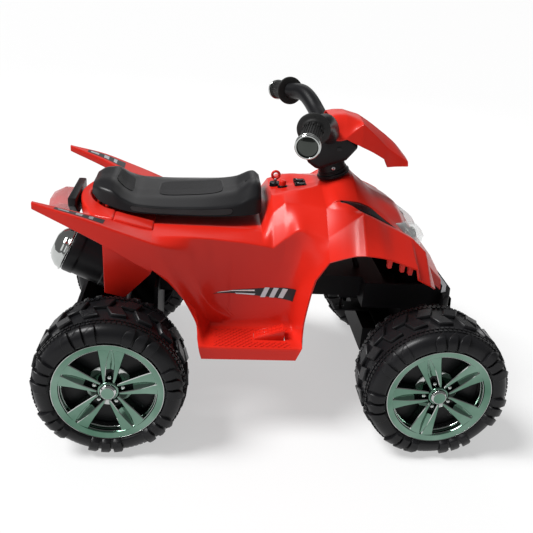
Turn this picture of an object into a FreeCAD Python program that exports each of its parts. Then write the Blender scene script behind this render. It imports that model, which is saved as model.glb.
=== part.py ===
import FreeCAD, Part
import math
import os

# Wheels and axles
WHEEL_BASE = 683.0
TYRE_RADIUS = 160.0
TYRE_WIDTH = 150.0
TRACK_WIDTH = 534.0
LUG_HEIGHT = 10.0
LUG_LENGTH = 30.0
LUG_COUNT = 18
SPOKE_COUNT = 5
SPOKE_WIDTH = 14.0
SPOKE_GROOVE = 5.0
RIM_HUB_RADIUS = 36.0
RIM_BORE_RADIUS = 16.0
LUG_NUT_RADIUS = 5.5
LUG_NUT_CIRCLE_RADIUS = 26.0
LUG_NUT_HEIGHT = 5.0
AXLE_RADIUS = 6.0
AXLE_NUT_RADIUS = 11.0
AXLE_NUT_HEIGHT = 8.0
DOG_RADIUS = 26.0
DOG_LENGTH = 27.0

# Fits
RUN_FIT = 0.05
MOVING_GAP = 0.4
SEAT_GAP = 0.3

# Steering
RAKE_DEGREES = 20.0
COLUMN_RADIUS = 7.0
BUSH_RADIUS = 13.0
BUSH_FLANGE_RADIUS = 24.0
BUSH_FLANGE = 4.0
BUSH_DEPTH = 22.0
STEM_RADIUS = 31.0
STEM_FLANGE_RADIUS = 37.0
STEM_FLANGE = 8.0
STEM_SCREW_RADIUS = 4.0
STEM_SCREW_PROUD = 2.0
CRANK_THICKNESS = 10.0
CRANK_PIN_RADIUS = 4.0
SLOT_CLEARANCE = 2.4
STEER_ARM_WIDTH = 22.0
STEER_ARM_THICKNESS = 6.0
TIE_BAR_THICKNESS = 4.0
TIE_PIN_RADIUS = 4.0
KNUCKLE_SIDE = 28.0
KNUCKLE_HEIGHT = 28.0
ARM_PLATE = 12.0
BAR_RADIUS = 15.0
BAR_MIDDLE_RADIUS = 19.0
GRIP_RADIUS = 20.0
GRIP_FLANGE_RADIUS = 33.0
GRIP_FLANGE = 6.0
END_CAP_RADIUS = 24.5
END_CAP_LENGTH = 12.0

# Body
WALL = 4.0
SEAT_WALL = 4.0
STRIP_WALL = 3.0
HINGE_PIN_RADIUS = 4.0
MUFFLER_RADIUS = 48.0
MUFFLER_TILT_DEGREES = 24.6
MUFFLER_LENGTH = 120.0
MUFFLER_CAP_LENGTH = 34.0
OUTLET_RADIUS = 9.0
OUTLET_WALL = 2.0
OUTLET_LENGTH = 24.0
MOTOR_RADIUS = 18.0
PEDAL_PIN_RADIUS = 2.5
KEY_RADIUS = 9.0
KEY_BASE_RADIUS = 13.0
KEY_STEM_RADIUS = 3.0
KEY_BOW_WIRE = 2.5
KEY_LIFT = 8.0
BUTTON_RADIUS = 8.0
BUTTON_HEIGHT = 12.0
BUTTON_BEZEL_RADIUS = 11.0

# Every table whose name ends in SHARES holds shares of GRID unless its heading says otherwise
WHEEL_BASE_SHARE = .683
AXLE_HEIGHT_SHARE = .16
COLUMN_TOP_SHARES = (.132, 0, .53)
COLUMN_DROP_SHARE = .321
COLUMN_RISE_SHARE = .07
STEM_HEIGHT_SHARE = .062
KINGPIN_OFFSET_SHARE = .165
STEER_ARM_LENGTH_SHARE = .075
FRONT_ROLL_DEGREES = -17.0

GRID = WHEEL_BASE / WHEEL_BASE_SHARE
LIFT = TYRE_RADIUS - AXLE_HEIGHT_SHARE * GRID
COLUMN_DROP = COLUMN_DROP_SHARE * GRID
COLUMN_RISE = COLUMN_RISE_SHARE * GRID
STEM_HEIGHT = STEM_HEIGHT_SHARE * GRID
KINGPIN_OFFSET = KINGPIN_OFFSET_SHARE * GRID
STEER_ARM_LENGTH = STEER_ARM_LENGTH_SHARE * GRID
HALF_BASE = WHEEL_BASE / 2
HALF_TRACK = TRACK_WIDTH / 2
HALF_TYRE = TYRE_WIDTH / 2
AXLE_Z = TYRE_RADIUS
UP = FreeCAD.Vector(0, 0, 1)
SIDE = FreeCAD.Vector(0, 1, 0)
FRONT = FreeCAD.Vector(1, 0, 0)
ORIGIN = FreeCAD.Vector(0, 0, 0)
RAKE = math.radians(RAKE_DEGREES)
COLUMN_AXIS = FreeCAD.Vector(-math.sin(RAKE), 0, math.cos(RAKE))


def height(z_share):
    # Height above the floor, so that the body rises with the axles
    return z_share * GRID + LIFT


def at(x_share, y_share, z_share):
    return FreeCAD.Vector(x_share * GRID, y_share * GRID, height(z_share))


def ring(points):
    return Part.makePolygon(list(points) + [points[0]])


def loft(sections):
    return Part.makeLoft([ring(section) for section in sections], True, True)


def block(shares):
    x0, x1, y0, y1, z0, z1 = shares
    return Part.makeBox((x1 - x0) * GRID, (y1 - y0) * GRID, (z1 - z0) * GRID, at(x0, y0, z0))


def rod(start, end, radius):
    return Part.makeCylinder(radius, (end - start).Length, start, end - start)


def mirrored(shape):
    return shape.mirror(ORIGIN, SIDE)


def both(shape):
    return shape.fuse(mirrored(shape)).removeSplitter()


def turned(profile, centre=ORIGIN):
    # Solid of revolution about the Y direction through centre, profile as (radius, y) pairs
    points = [centre + FreeCAD.Vector(radius, y, 0) for radius, y in profile]
    return Part.Face(ring(points)).revolve(centre, SIDE, 360)


def side_prism(xz_shares, half_share):
    # Solid with the given outline seen from the side, from -half_share to +half_share across
    face = Part.Face(ring([at(x, -half_share, z) for x, z in xz_shares]))
    return face.extrude(SIDE * (2 * half_share * GRID))


def side_plate(xz_shares, y_shares):
    # Solid with the given outline seen from the side, between two y shares
    y0, y1 = [share * GRID for share in y_shares]
    face = Part.Face(ring([FreeCAD.Vector(x * GRID, y0, height(z)) for x, z in xz_shares]))
    return face.extrude(SIDE * (y1 - y0))


def plan_prism(xy_shares, z0_share, z1_share):
    face = Part.Face(ring([at(x, y, z0_share) for x, y in xy_shares]))
    return face.extrude(UP * ((z1_share - z0_share) * GRID))


def offset_line(line, wall):
    # Copy of a (y, z) line moved by wall to its inner side
    normals = []
    for (ya, za), (yb, zb) in zip(line, line[1:]):
        length = math.hypot(yb - ya, zb - za)
        normals.append(((za - zb) / length, (yb - ya) / length))
    moved = []
    for i, (y, z) in enumerate(line):
        first = normals[max(i - 1, 0)]
        last = normals[min(i, len(normals) - 1)]
        if y == 0:
            # The line meets its mirror image on the middle plane
            first = (-last[0], last[1])
        ny, nz = first[0] + last[0], first[1] + last[1]
        size = max(ny * ny + nz * nz, 1)
        moved.append((y + 2 * wall * ny / size, z + 2 * wall * nz / size))
    return moved


def skin(stations, wall):
    # Thin half shell through cross lines given as (x share, ((y share, z share), ...))
    sections = []
    for x_share, line_shares in stations:
        line = [(y * GRID, height(z)) for y, z in line_shares]
        closed = line + offset_line(line, wall)[::-1]
        sections.append([FreeCAD.Vector(x_share * GRID, y, z) for y, z in closed])
    return loft(sections)


def save(name, shape):
    shape.exportStep("parts/" + name + ".step")


os.makedirs("parts", exist_ok=True)
COLUMN_BASE = at(*COLUMN_TOP_SHARES)

# Wheel profiles, as shares of the tyre radius, or the rim's bore for the cap, and of half the tyre width
TYRE_PROFILE_SHARES = (
    (0, -.61), (.1375, -.61), (.1375, -.53), (.675, -.53), (.703, -.907), (.7375, -1), (.8375, -.96),
    (.9375, -.773), (.9375, .773), (.85, .96), (.70, 1), (.70, .92), (.825, .88), (.90, .733),
    (.90, -.733), (.8125, -.88), (.744, -.827), (.7125, -.453), (.175, -.453), (.175, .667), (0, .667))
RIM_PROFILE_SHARES = ((.6735, -.5325), (.7015, -.907), (.69, -.955), (.65, -.92), (.61, -.70), (.61, -.5325))
CAP_PROFILE_SHARES = ((0, -.99), (.5, -.98), (.85, -.93), (.99, -.85), (.99, -.62), (.85, -.62),
                      (.85, -.84), (.7, -.89), (0, -.9))
SPOKE_REACH_SHARES = (.14, .64)
SPOKE_FACE_SHARE = -.82
SPOKE_BACK_SHARE = -.5325
HUB_FACE_SHARE = -.84
LUG_ROW_SHARES = ((-.90, -.06), (.06, .90))


def wheel_line(shares, full_radius):
    return [(radius * full_radius, y * HALF_TYRE) for radius, y in shares]


def spun(shape, degrees):
    copy = shape.copy()
    copy.rotate(ORIGIN, SIDE, degrees)
    return copy


def make_tyre():
    body = turned(wheel_line(TYRE_PROFILE_SHARES, TYRE_RADIUS))
    lugs = []
    for row, (start, end) in enumerate(LUG_ROW_SHARES):
        width = (end - start) * HALF_TYRE
        corner = FreeCAD.Vector(-LUG_LENGTH / 2, start * HALF_TYRE, TYRE_RADIUS - 1.5 * LUG_HEIGHT)
        lug = Part.makeBox(LUG_LENGTH, width, 1.5 * LUG_HEIGHT, corner)
        for i in range(LUG_COUNT):
            lugs.append(spun(lug, (i + row / 2) * 360 / LUG_COUNT))
    body = body.multiFuse(lugs)
    limit = Part.makeCylinder(TYRE_RADIUS, TYRE_WIDTH, FreeCAD.Vector(0, -HALF_TYRE, 0), SIDE)
    bore = Part.makeCylinder(AXLE_RADIUS + RUN_FIT, TYRE_WIDTH, FreeCAD.Vector(0, -HALF_TYRE, 0), SIDE)
    return body.common(limit).cut(bore)


def make_rim():
    face, back = SPOKE_FACE_SHARE * HALF_TYRE, SPOKE_BACK_SHARE * HALF_TYRE
    start, end = [share * TYRE_RADIUS for share in SPOKE_REACH_SHARES]
    hub_start = FreeCAD.Vector(0, HUB_FACE_SHARE * HALF_TYRE, 0)
    hub = Part.makeCylinder(RIM_HUB_RADIUS, back - hub_start.y, hub_start, SIDE)
    pieces = [hub]
    for i in range(SPOKE_COUNT):
        for edge in (-SPOKE_WIDTH - SPOKE_GROOVE / 2, SPOKE_GROOVE / 2):
            arm = Part.makeBox(SPOKE_WIDTH, back - face, end - start, FreeCAD.Vector(edge, face, start))
            pieces.append(spun(arm, i * 360 / SPOKE_COUNT))
    rim = turned(wheel_line(RIM_PROFILE_SHARES, TYRE_RADIUS)).multiFuse(pieces)
    bore = Part.makeCylinder(RIM_BORE_RADIUS, TYRE_WIDTH, FreeCAD.Vector(0, -HALF_TYRE, 0), SIDE)
    boss_radius, boss_face = wheel_line(TYRE_PROFILE_SHARES, TYRE_RADIUS)[1]
    boss_start = FreeCAD.Vector(0, boss_face - SEAT_GAP, 0)
    boss_room = Part.makeCylinder(boss_radius + SEAT_GAP, TYRE_WIDTH, boss_start, SIDE)
    return rim.cut(bore).cut(boss_room).removeSplitter()


def make_lug_nuts():
    base = FreeCAD.Vector(0, HUB_FACE_SHARE * HALF_TYRE - LUG_NUT_HEIGHT, LUG_NUT_CIRCLE_RADIUS)
    corners = []
    for i in range(6):
        angle = i * math.pi / 3
        corners.append(base + FreeCAD.Vector(math.cos(angle), 0, math.sin(angle)) * LUG_NUT_RADIUS)
    nut = Part.Face(ring(corners)).extrude(SIDE * LUG_NUT_HEIGHT)
    return [spun(nut, i * 360 / SPOKE_COUNT) for i in range(SPOKE_COUNT)]


def placed(shape, x, right, roll):
    copy = spun(shape, roll)
    copy = copy if right else mirrored(copy)
    copy.translate(FreeCAD.Vector(x, -HALF_TRACK if right else HALF_TRACK, AXLE_Z))
    return copy


tyre = make_tyre()
rim = make_rim().multiFuse(make_lug_nuts())
cap = turned(wheel_line(CAP_PROFILE_SHARES, RIM_BORE_RADIUS))
dog_start = FreeCAD.Vector(0, TYRE_PROFILE_SHARES[-1][1] * HALF_TYRE, 0)
dog = Part.makeCylinder(DOG_RADIUS, DOG_LENGTH, dog_start, SIDE)
dog = dog.cut(Part.makeCylinder(AXLE_RADIUS + MOVING_GAP, DOG_LENGTH, dog_start, SIDE))
driven_tyre = tyre.fuse(dog)
wheel_ends = (("front", HALF_BASE, tyre, FRONT_ROLL_DEGREES), ("rear", -HALF_BASE, driven_tyre, 0))
for end_name, x, body, roll in wheel_ends:
    for side_name in ("right", "left"):
        right = side_name == "right"
        save("tyre_" + end_name + "_" + side_name, placed(body, x, right, roll))
        save("rim_" + end_name + "_" + side_name, placed(rim, x, right, roll))
        save("hub_cap_" + end_name + "_" + side_name, placed(cap, x, right, roll))

# Rear axle and axle nuts
HUB_OUT = -HALF_TRACK + TYRE_PROFILE_SHARES[0][1] * HALF_TYRE
HUB_IN = -HALF_TRACK + TYRE_PROFILE_SHARES[-1][1] * HALF_TYRE


def make_axle_nut(x):
    start = FreeCAD.Vector(x, HUB_OUT - MOVING_GAP, AXLE_Z)
    nut = Part.makeCylinder(AXLE_NUT_RADIUS, AXLE_NUT_HEIGHT, start, -SIDE)
    return nut.cut(Part.makeCylinder(AXLE_RADIUS, AXLE_NUT_HEIGHT, start, -SIDE))


rear_end = HUB_OUT - MOVING_GAP - AXLE_NUT_HEIGHT
axle_end = FreeCAD.Vector(-HALF_BASE, rear_end, AXLE_Z)
save("rear_axle", rod(axle_end, axle_end - SIDE * (2 * rear_end), AXLE_RADIUS))
rear_nut = make_axle_nut(-HALF_BASE)
save("rear_axle_nuts", Part.makeCompound([rear_nut, mirrored(rear_nut)]))
front_nut = make_axle_nut(HALF_BASE)
save("axle_nut_front_right", front_nut)
save("axle_nut_front_left", mirrored(front_nut))

# Chassis: rear tub, spine, front blocks, cross beam and post, as block shares
TUB_SHARES = (-.43, -.255, -.148, .148, .105, .26)
TUB_HOLLOW_SHARES = (-.422, -.263, -.14, .14, .113, .27)
TUB_WALL_SHARES = (-.263, -.255, -.148, .148, .105, .305)
POST_SHARES = (-.263, -.255, -.1, .1, .3, .4336)
SPINE_SHARES = (-.26, .23, -.06, .06, .255, .305)
SPINE_HOLLOW_SHARES = (-.255, .215, -.054, .054, .25, .299)
BEAM_SHARES = (-.115, -.075, -.25, .25, .196, .2176)
BEAM_HANGER_SHARES = (-.115, -.075, -.06, .06, .2, .26)
LOWER_BLOCK_SHARES = (.225, .4, -.095, .095, .125, .186)
LOWER_HOLLOW_SHARES = (.231, .394, -.089, .089, .119, .18)
UPPER_BLOCK_SHARES = (.215, .4, -.095, .095, .242, .305)
UPPER_HOLLOW_SHARES = (.265, .394, -.089, .089, .248, .31)
FRONT_WALL_SHARES = (.31, .4, -.095, .095, .18, .248)
FRONT_HOLLOW_SHARES = (.318, .394, -.089, .089, .17, .26)
NOSE_POST_SHARES = (.33, .345, -.05, .05, .245, .38)
ARM_X_SHARES = (.3265, .3565)
ARM_Y_SHARES = (-.183, -.09)

column_foot = COLUMN_BASE - COLUMN_AXIS * COLUMN_DROP
arm_low = AXLE_Z - KNUCKLE_HEIGHT / 2 - MOVING_GAP - ARM_PLATE
arm_high = AXLE_Z + KNUCKLE_HEIGHT / 2 + MOVING_GAP
kingpin = FreeCAD.Vector(HALF_BASE, -KINGPIN_OFFSET, 0)


def arm_block(z):
    x0, x1 = [share * GRID for share in ARM_X_SHARES]
    y0, y1 = [share * GRID for share in ARM_Y_SHARES]
    plate = Part.makeBox(x1 - x0, y1 - y0, ARM_PLATE, FreeCAD.Vector(x0, y0, z))
    return plate.cut(Part.makeCylinder(AXLE_RADIUS + RUN_FIT, ARM_PLATE, kingpin + UP * z))


tub = block(TUB_SHARES).cut(block(TUB_HOLLOW_SHARES)).fuse(block(TUB_WALL_SHARES)).fuse(block(POST_SHARES))
spine = block(SPINE_SHARES).cut(block(SPINE_HOLLOW_SHARES))
beam = block(BEAM_SHARES).fuse(block(BEAM_HANGER_SHARES))
lower = block(LOWER_BLOCK_SHARES).cut(block(LOWER_HOLLOW_SHARES))
upper = block(UPPER_BLOCK_SHARES).cut(block(UPPER_HOLLOW_SHARES))
front = block(FRONT_WALL_SHARES).cut(block(FRONT_HOLLOW_SHARES))
arms = [arm_block(arm_low), arm_block(arm_high)]
arms = arms + [mirrored(arm) for arm in arms]
chassis = tub.multiFuse([spine, beam, lower, upper, front, block(NOSE_POST_SHARES)] + arms)
column_hole = rod(column_foot, COLUMN_BASE, COLUMN_RADIUS + RUN_FIT)
axle_hole = Part.makeCylinder(AXLE_RADIUS, 2 * HALF_TRACK,
                              FreeCAD.Vector(-HALF_BASE, -HALF_TRACK, AXLE_Z), SIDE)
chassis = chassis.cut(column_hole).cut(axle_hole)

# Geared motors outside and inside the walls of the rear tub
GEARBOX_SHARES = (-.385, -.3, -.196, -.1482, .115, .24)
MOTOR_SPOT_SHARES = (-.3415, .215)
MOTOR_Y_SHARES = (-.1398, -.08)
SHAFT_END_SHARE = -.17
MOTOR_SHAFT_RADIUS = 3.0

motor_x, motor_z = MOTOR_SPOT_SHARES[0] * GRID, height(MOTOR_SPOT_SHARES[1])
motor_out, motor_in = [share * GRID for share in MOTOR_Y_SHARES]
motor_face = FreeCAD.Vector(motor_x, motor_out, motor_z)
shaft_end = FreeCAD.Vector(motor_x, SHAFT_END_SHARE * GRID, motor_z)
shaft = rod(shaft_end, motor_face, MOTOR_SHAFT_RADIUS)
motor = rod(motor_face, FreeCAD.Vector(motor_x, motor_in, motor_z), MOTOR_RADIUS).fuse(shaft)
shaft_hole = rod(shaft_end, motor_face, MOTOR_SHAFT_RADIUS + MOVING_GAP)
gearbox = block(GEARBOX_SHARES).cut(axle_hole)
dog_room = Part.makeCylinder(DOG_RADIUS + MOVING_GAP, DOG_LENGTH + MOVING_GAP,
                             FreeCAD.Vector(-HALF_BASE, HUB_IN, AXLE_Z), SIDE)
gear_motor = gearbox.cut(dog_room).fuse(motor).removeSplitter()
chassis = chassis.cut(shaft_hole).cut(mirrored(shaft_hole))
save("gear_motor_right", gear_motor)
save("gear_motor_left", mirrored(gear_motor))

# Front knuckles with their stub axles and steering arms
steer_arm_z = arm_high + ARM_PLATE + MOVING_GAP
tie_z = steer_arm_z + STEER_ARM_THICKNESS + MOVING_GAP
stud_spot = kingpin - FRONT * STEER_ARM_LENGTH


def make_knuckle():
    centre = kingpin + UP * AXLE_Z
    half = KNUCKLE_SIDE / 2
    corner = centre - FreeCAD.Vector(half, half, KNUCKLE_HEIGHT / 2)
    body = Part.makeBox(KNUCKLE_SIDE, KNUCKLE_SIDE, KNUCKLE_HEIGHT, corner)
    pin = rod(kingpin + UP * arm_low, kingpin + UP * (steer_arm_z + STEER_ARM_THICKNESS), AXLE_RADIUS)
    shoulder = rod(centre, FreeCAD.Vector(HALF_BASE, HUB_IN + MOVING_GAP, AXLE_Z), AXLE_NUT_RADIUS)
    stub = rod(centre, FreeCAD.Vector(HALF_BASE, rear_end, AXLE_Z), AXLE_RADIUS)
    arm_corner = stud_spot + FreeCAD.Vector(-STEER_ARM_WIDTH / 2, -STEER_ARM_WIDTH / 2, steer_arm_z)
    arm = Part.makeBox(STEER_ARM_LENGTH + STEER_ARM_WIDTH, STEER_ARM_WIDTH, STEER_ARM_THICKNESS, arm_corner)
    stud = rod(stud_spot + UP * steer_arm_z, stud_spot + UP * (tie_z + 2 * TIE_BAR_THICKNESS), TIE_PIN_RADIUS)
    return body.multiFuse([pin, shoulder, stub, arm, stud]).removeSplitter()


knuckle = make_knuckle()
save("knuckle_right", knuckle)
save("knuckle_left", mirrored(knuckle))

# Tie bar with a rear tab that takes the crank pin in a slot
CRANK_X_SHARE = .186
CRANK_REACH_SHARE = .178
CRANK_Z_SHARES = (.1895, .2225)
CRANK_HALF_SHARE = .009
SLOT_HALF_SHARE = .0095
TAB_SHARES = (.168, .26, -.022, .022)
TIE_BAR_WIDTH = 20.0

crank_x = CRANK_X_SHARE * GRID
pin_low, pin_high = [height(share) for share in CRANK_Z_SHARES]
strip_length = 2 * KINGPIN_OFFSET + TIE_BAR_WIDTH
strip_corner = stud_spot + FreeCAD.Vector(-TIE_BAR_WIDTH / 2, -TIE_BAR_WIDTH / 2, tie_z)
strip = Part.makeBox(TIE_BAR_WIDTH, strip_length, TIE_BAR_THICKNESS, strip_corner)
tab_x0, tab_x1, tab_y0, tab_y1 = [share * GRID for share in TAB_SHARES]
tab_corner = FreeCAD.Vector(tab_x0, tab_y0, tie_z)
tab = Part.makeBox(tab_x1 - tab_x0, tab_y1 - tab_y0, TIE_BAR_THICKNESS, tab_corner)
slot_half = SLOT_HALF_SHARE * GRID
slot_width = CRANK_PIN_RADIUS + SLOT_CLEARANCE
slot = Part.makeBox(2 * slot_half, 2 * slot_width, TIE_BAR_THICKNESS,
                    FreeCAD.Vector(crank_x - slot_half, -slot_width, tie_z))
stud_hole = Part.makeCylinder(TIE_PIN_RADIUS + RUN_FIT, TIE_BAR_THICKNESS, stud_spot + UP * tie_z)
open_hole = Part.makeCylinder(TIE_PIN_RADIUS + MOVING_GAP, TIE_BAR_THICKNESS, stud_spot + UP * tie_z)
tie_bar = strip.fuse(tab).cut(slot).cut(stud_hole).cut(mirrored(open_hole)).removeSplitter()
save("tie_bar", tie_bar)

# Steering column with its crank and pin, and the bush in the top of the tank
crank_corner = FreeCAD.Vector(CRANK_REACH_SHARE * GRID, -CRANK_HALF_SHARE * GRID, pin_high)
crank_length = column_foot.x - crank_corner.x
crank = Part.makeBox(crank_length, 2 * CRANK_HALF_SHARE * GRID, CRANK_THICKNESS, crank_corner)
crank_pin = rod(FreeCAD.Vector(crank_x, 0, pin_low), FreeCAD.Vector(crank_x, 0, pin_high), CRANK_PIN_RADIUS)
column_head = COLUMN_BASE + COLUMN_AXIS * COLUMN_RISE
column = rod(column_foot, column_head, COLUMN_RADIUS).fuse(crank).fuse(crank_pin).removeSplitter()
save("steering_column", column)
bush = rod(COLUMN_BASE - COLUMN_AXIS * BUSH_DEPTH, COLUMN_BASE + COLUMN_AXIS * BUSH_FLANGE, BUSH_RADIUS)
bush_seat = COLUMN_BASE + COLUMN_AXIS * SEAT_GAP
bush_top = COLUMN_BASE + COLUMN_AXIS * BUSH_FLANGE
bush = bush.fuse(rod(bush_seat, bush_top, BUSH_FLANGE_RADIUS))
bush = bush.cut(rod(column_foot, column_head, COLUMN_RADIUS + RUN_FIT))
save("column_bush", bush)

# Handlebar, grips and the black head that clamps the bar to the column
BAR_PATH_SHARES = (
    (.108, 0, .622), (.096, -.085, .65), (.064, -.168, .684), (.041, -.2, .68), (.02, -.28, .667))
HEAD_SHARES = (
    (.047, .6), (.052, .585), (.064, .567), (.086, .552), (.148, .577), (.174, .61), (.155, .628),
    (.13, .635), (.075, .635), (.053, .622))
HEAD_HALF_SHARE = .045
HEAD_FOOT_SHARES = (.129, .145, -.03, .03, .62, .672)

bar_path = [at(*point) for point in BAR_PATH_SHARES]


def make_bar(gap):
    # Thick between the grips, thin inside them, with all round gap added
    pieces = [rod(bar_path[-2], bar_path[-1], BAR_RADIUS + gap)]
    pieces.append(Part.makeSphere(BAR_RADIUS + gap, bar_path[-2]))
    for start, end in zip(bar_path[:-1], bar_path[1:-1]):
        pieces.append(rod(start, end, BAR_MIDDLE_RADIUS + gap))
        pieces.append(Part.makeSphere(BAR_MIDDLE_RADIUS + gap, start))
    half = pieces[0].multiFuse(pieces[1:])
    return half.fuse(mirrored(half)).removeSplitter()


bar = make_bar(0)
save("handlebar", bar)
grip_start, grip_end = bar_path[-2], bar_path[-1]
grip_way = (grip_end - grip_start).normalize()
grip = rod(grip_start, grip_end, GRIP_RADIUS)
grip = grip.fuse(rod(grip_start, grip_start + grip_way * GRIP_FLANGE, GRIP_FLANGE_RADIUS))
grip = grip.cut(rod(grip_start - grip_way * GRIP_RADIUS, grip_end + grip_way * GRIP_RADIUS, BAR_RADIUS))
grip = grip.cut(bar)
save("grip_right", grip)
save("grip_left", mirrored(grip))
end_cap = rod(grip_end, grip_end + grip_way * END_CAP_LENGTH, END_CAP_RADIUS)
end_cap = end_cap.makeChamfer(END_CAP_LENGTH / 3, [end_cap.Edges[0]])
save("grip_cap_right", end_cap)
save("grip_cap_left", mirrored(end_cap))
# Red pod over the handlebar, half lines from the middle outwards
POD_SHARES = (
    (.102, ((0, .672), (-.05, .674), (-.062, .628))),
    (.122, ((0, .677), (-.053, .676), (-.064, .6255))),
    (.14, ((0, .679), (-.056, .672), (-.066, .63))),
    (.172, ((0, .672), (-.058, .664), (-.066, .616))),
    (.2, ((0, .656), (-.056, .642), (-.062, .604))),
    (.229, ((0, .637), (-.053, .617), (-.058, .589))),
    (.238, ((0, .631), (-.052, .61), (-.057, .5715))),
    (.262, ((0, .613), (-.048, .596), (-.053, .573))),
    (.287, ((0, .588), (-.042, .582), (-.047, .573))))
pod = both(skin(POD_SHARES, WALL)).cut(make_bar(SEAT_GAP))
save("handlebar_pod", pod)

# Steering head on the column, under the pod
stem_low = COLUMN_BASE + COLUMN_AXIS * (BUSH_FLANGE + MOVING_GAP)
stem_high = COLUMN_BASE + COLUMN_AXIS * STEM_HEIGHT
stem_flange = rod(stem_low, stem_low + COLUMN_AXIS * STEM_FLANGE, STEM_FLANGE_RADIUS)
head = rod(stem_low, stem_high, STEM_RADIUS).fuse(stem_flange)
head = head.fuse(side_prism(HEAD_SHARES, HEAD_HALF_SHARE)).fuse(block(HEAD_FOOT_SHARES)).cut(pod)
head = head.cut(rod(column_foot, column_head, COLUMN_RADIUS)).cut(bar).removeSplitter()
screw_spot = COLUMN_BASE + COLUMN_AXIS * (STEM_HEIGHT / 2)
stem_screw = rod(screw_spot, screw_spot - SIDE * (STEM_RADIUS + STEM_SCREW_PROUD), STEM_SCREW_RADIUS)
head = head.cut(stem_screw)
save("stem_screw", stem_screw.cut(rod(column_foot, column_head, COLUMN_RADIUS)))
save("steering_head", head)

# Body shell: tank, seat well, knee panels and footrests, half lines from the middle outwards
BODY_SHARES = (
    (-.265, ((0, .438), (-.112, .438), (-.134, .4475), (-.192, .4425), (-.222, .4385), (-.219, .39),
             (-.216, .34), (-.215, .29), (-.214, .24))),
    (-.19, ((0, .438), (-.112, .438), (-.132, .445), (-.188, .441), (-.195, .405), (-.194, .34), (-.204, .28),
            (-.24, .222), (-.24, .192))),
    (-.16, ((0, .438), (-.112, .438), (-.128, .444), (-.184, .438), (-.176, .335), (-.195, .275),
            (-.222, .24), (-.255, .222), (-.255, .192))),
    (-.138, ((0, .438), (-.112, .438), (-.128, .443), (-.18, .435), (-.16, .33), (-.158, .27), (-.166, .223),
             (-.255, .222), (-.255, .192))),
    (-.07, ((0, .438), (-.112, .438), (-.128, .44), (-.173, .426), (-.15, .33), (-.152, .27), (-.165, .222),
            (-.255, .222), (-.255, .192))),
    (-.036, ((0, .438), (-.112, .438), (-.13, .435), (-.17, .42), (-.149, .33), (-.152, .27), (-.165, .222),
             (-.255, .222), (-.255, .192))),
    (-.014, ((0, .494), (-.066, .497), (-.114, .474), (-.167, .414), (-.148, .33), (-.152, .27),
             (-.165, .222), (-.255, .222), (-.255, .192))),
    (.011, ((0, .5), (-.065, .505), (-.1075, .4965), (-.168, .438), (-.15, .33), (-.152, .27), (-.165, .222),
            (-.255, .222), (-.255, .192))),
    (.04, ((0, .504), (-.062, .512), (-.1125, .4957), (-.174, .46), (-.16, .335), (-.158, .27), (-.165, .222),
           (-.255, .222), (-.255, .192))),
    (.07, ((0, .509), (-.05, .515), (-.12, .495), (-.188, .458), (-.205, .36), (-.226, .29), (-.24, .25),
           (-.258, .225), (-.258, .192))),
    (.098, ((0, .5176), (-.034, .5176), (-.127, .495), (-.202, .4556), (-.241, .418), (-.242, .34),
            (-.246, .28), (-.256, .24), (-.256, .2))))
BODY_OUTLINE_SHARES = (
    (-.265, .56), (-.265, .372), (-.241, .354), (-.186, .322), (-.178, .3), (-.163, .212), (-.157, .19),
    (.043, .19), (.058, .236), (.06, .262), (.072, .349), (.08, .378), (.098, .409), (.098, .56))
BODY_HALF_SHARE = .3
BATTERY_HOLE_SHARES = (-.25, -.09, -.045, .045, .4, .46)
PEDAL_HOLE_SHARES = (-.0452, .0256, -.2226, -.1894, .2, .25)
PEDAL_LUG_SHARES = (-.046, -.034, -.23, -.2226, .207, .22)
PEDAL_LUG_IN_SHARES = (-.046, -.034, -.1894, -.182, .207, .22)
PEDAL_PIVOT_SHARES = (-.04, .2135)
PEDAL_OUTLINE_SHARES = ((-.0445, .2095), (-.0445, .2255), (.02, .246), (.02, .2095))
PEDAL_SIDE_SHARES = (-.222, -.19)
SWITCH_SHARES = (.028, .04, -.216, -.196, .188, .2178)
SWITCH_ARM_SHARES = (.008, .03, -.211, -.201, .188, .2004)
KEY_SPOT_SHARES = (0, .012)
BUTTON_SPOT_SHARES = (.014, -.013)
ROCKER_SPOT_SHARES = ((.055, .014), (.055, -.014))
SWITCH_FLOOR_SHARE = .478
KEY_FACE_SHARE = .5045
BUTTON_FACE_SHARE = .506
ROCKER_FACE_SHARE = .512

pedal_x, pedal_z = PEDAL_PIVOT_SHARES[0] * GRID, height(PEDAL_PIVOT_SHARES[1])
pin_start = FreeCAD.Vector(pedal_x, PEDAL_LUG_SHARES[2] * GRID, pedal_z)
pin_end = FreeCAD.Vector(pedal_x, PEDAL_LUG_IN_SHARES[3] * GRID, pedal_z)
pedal_pin = rod(pin_start, pin_end, PEDAL_PIN_RADIUS)
save("pedal_pin", pedal_pin)
pedal = side_plate(PEDAL_OUTLINE_SHARES, PEDAL_SIDE_SHARES)
pedal = pedal.cut(rod(pin_start, pin_end, PEDAL_PIN_RADIUS + RUN_FIT))
save("foot_pedal", pedal)
save("pedal_switch", block(SWITCH_SHARES).fuse(block(SWITCH_ARM_SHARES)).removeSplitter())

half_body = skin(BODY_SHARES, WALL).common(side_prism(BODY_OUTLINE_SHARES, BODY_HALF_SHARE))
body = half_body.fuse(mirrored(half_body))
body = body.cut(block(BATTERY_HOLE_SHARES)).cut(block(PEDAL_HOLE_SHARES))
lugs = block(PEDAL_LUG_SHARES).fuse(block(PEDAL_LUG_IN_SHARES))
body = body.fuse(lugs).cut(pedal_pin)


def upright(spot_shares, radius, z0, z1):
    base = FreeCAD.Vector(spot_shares[0] * GRID, spot_shares[1] * GRID, z0)
    return Part.makeCylinder(radius, z1 - z0, base)


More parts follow.
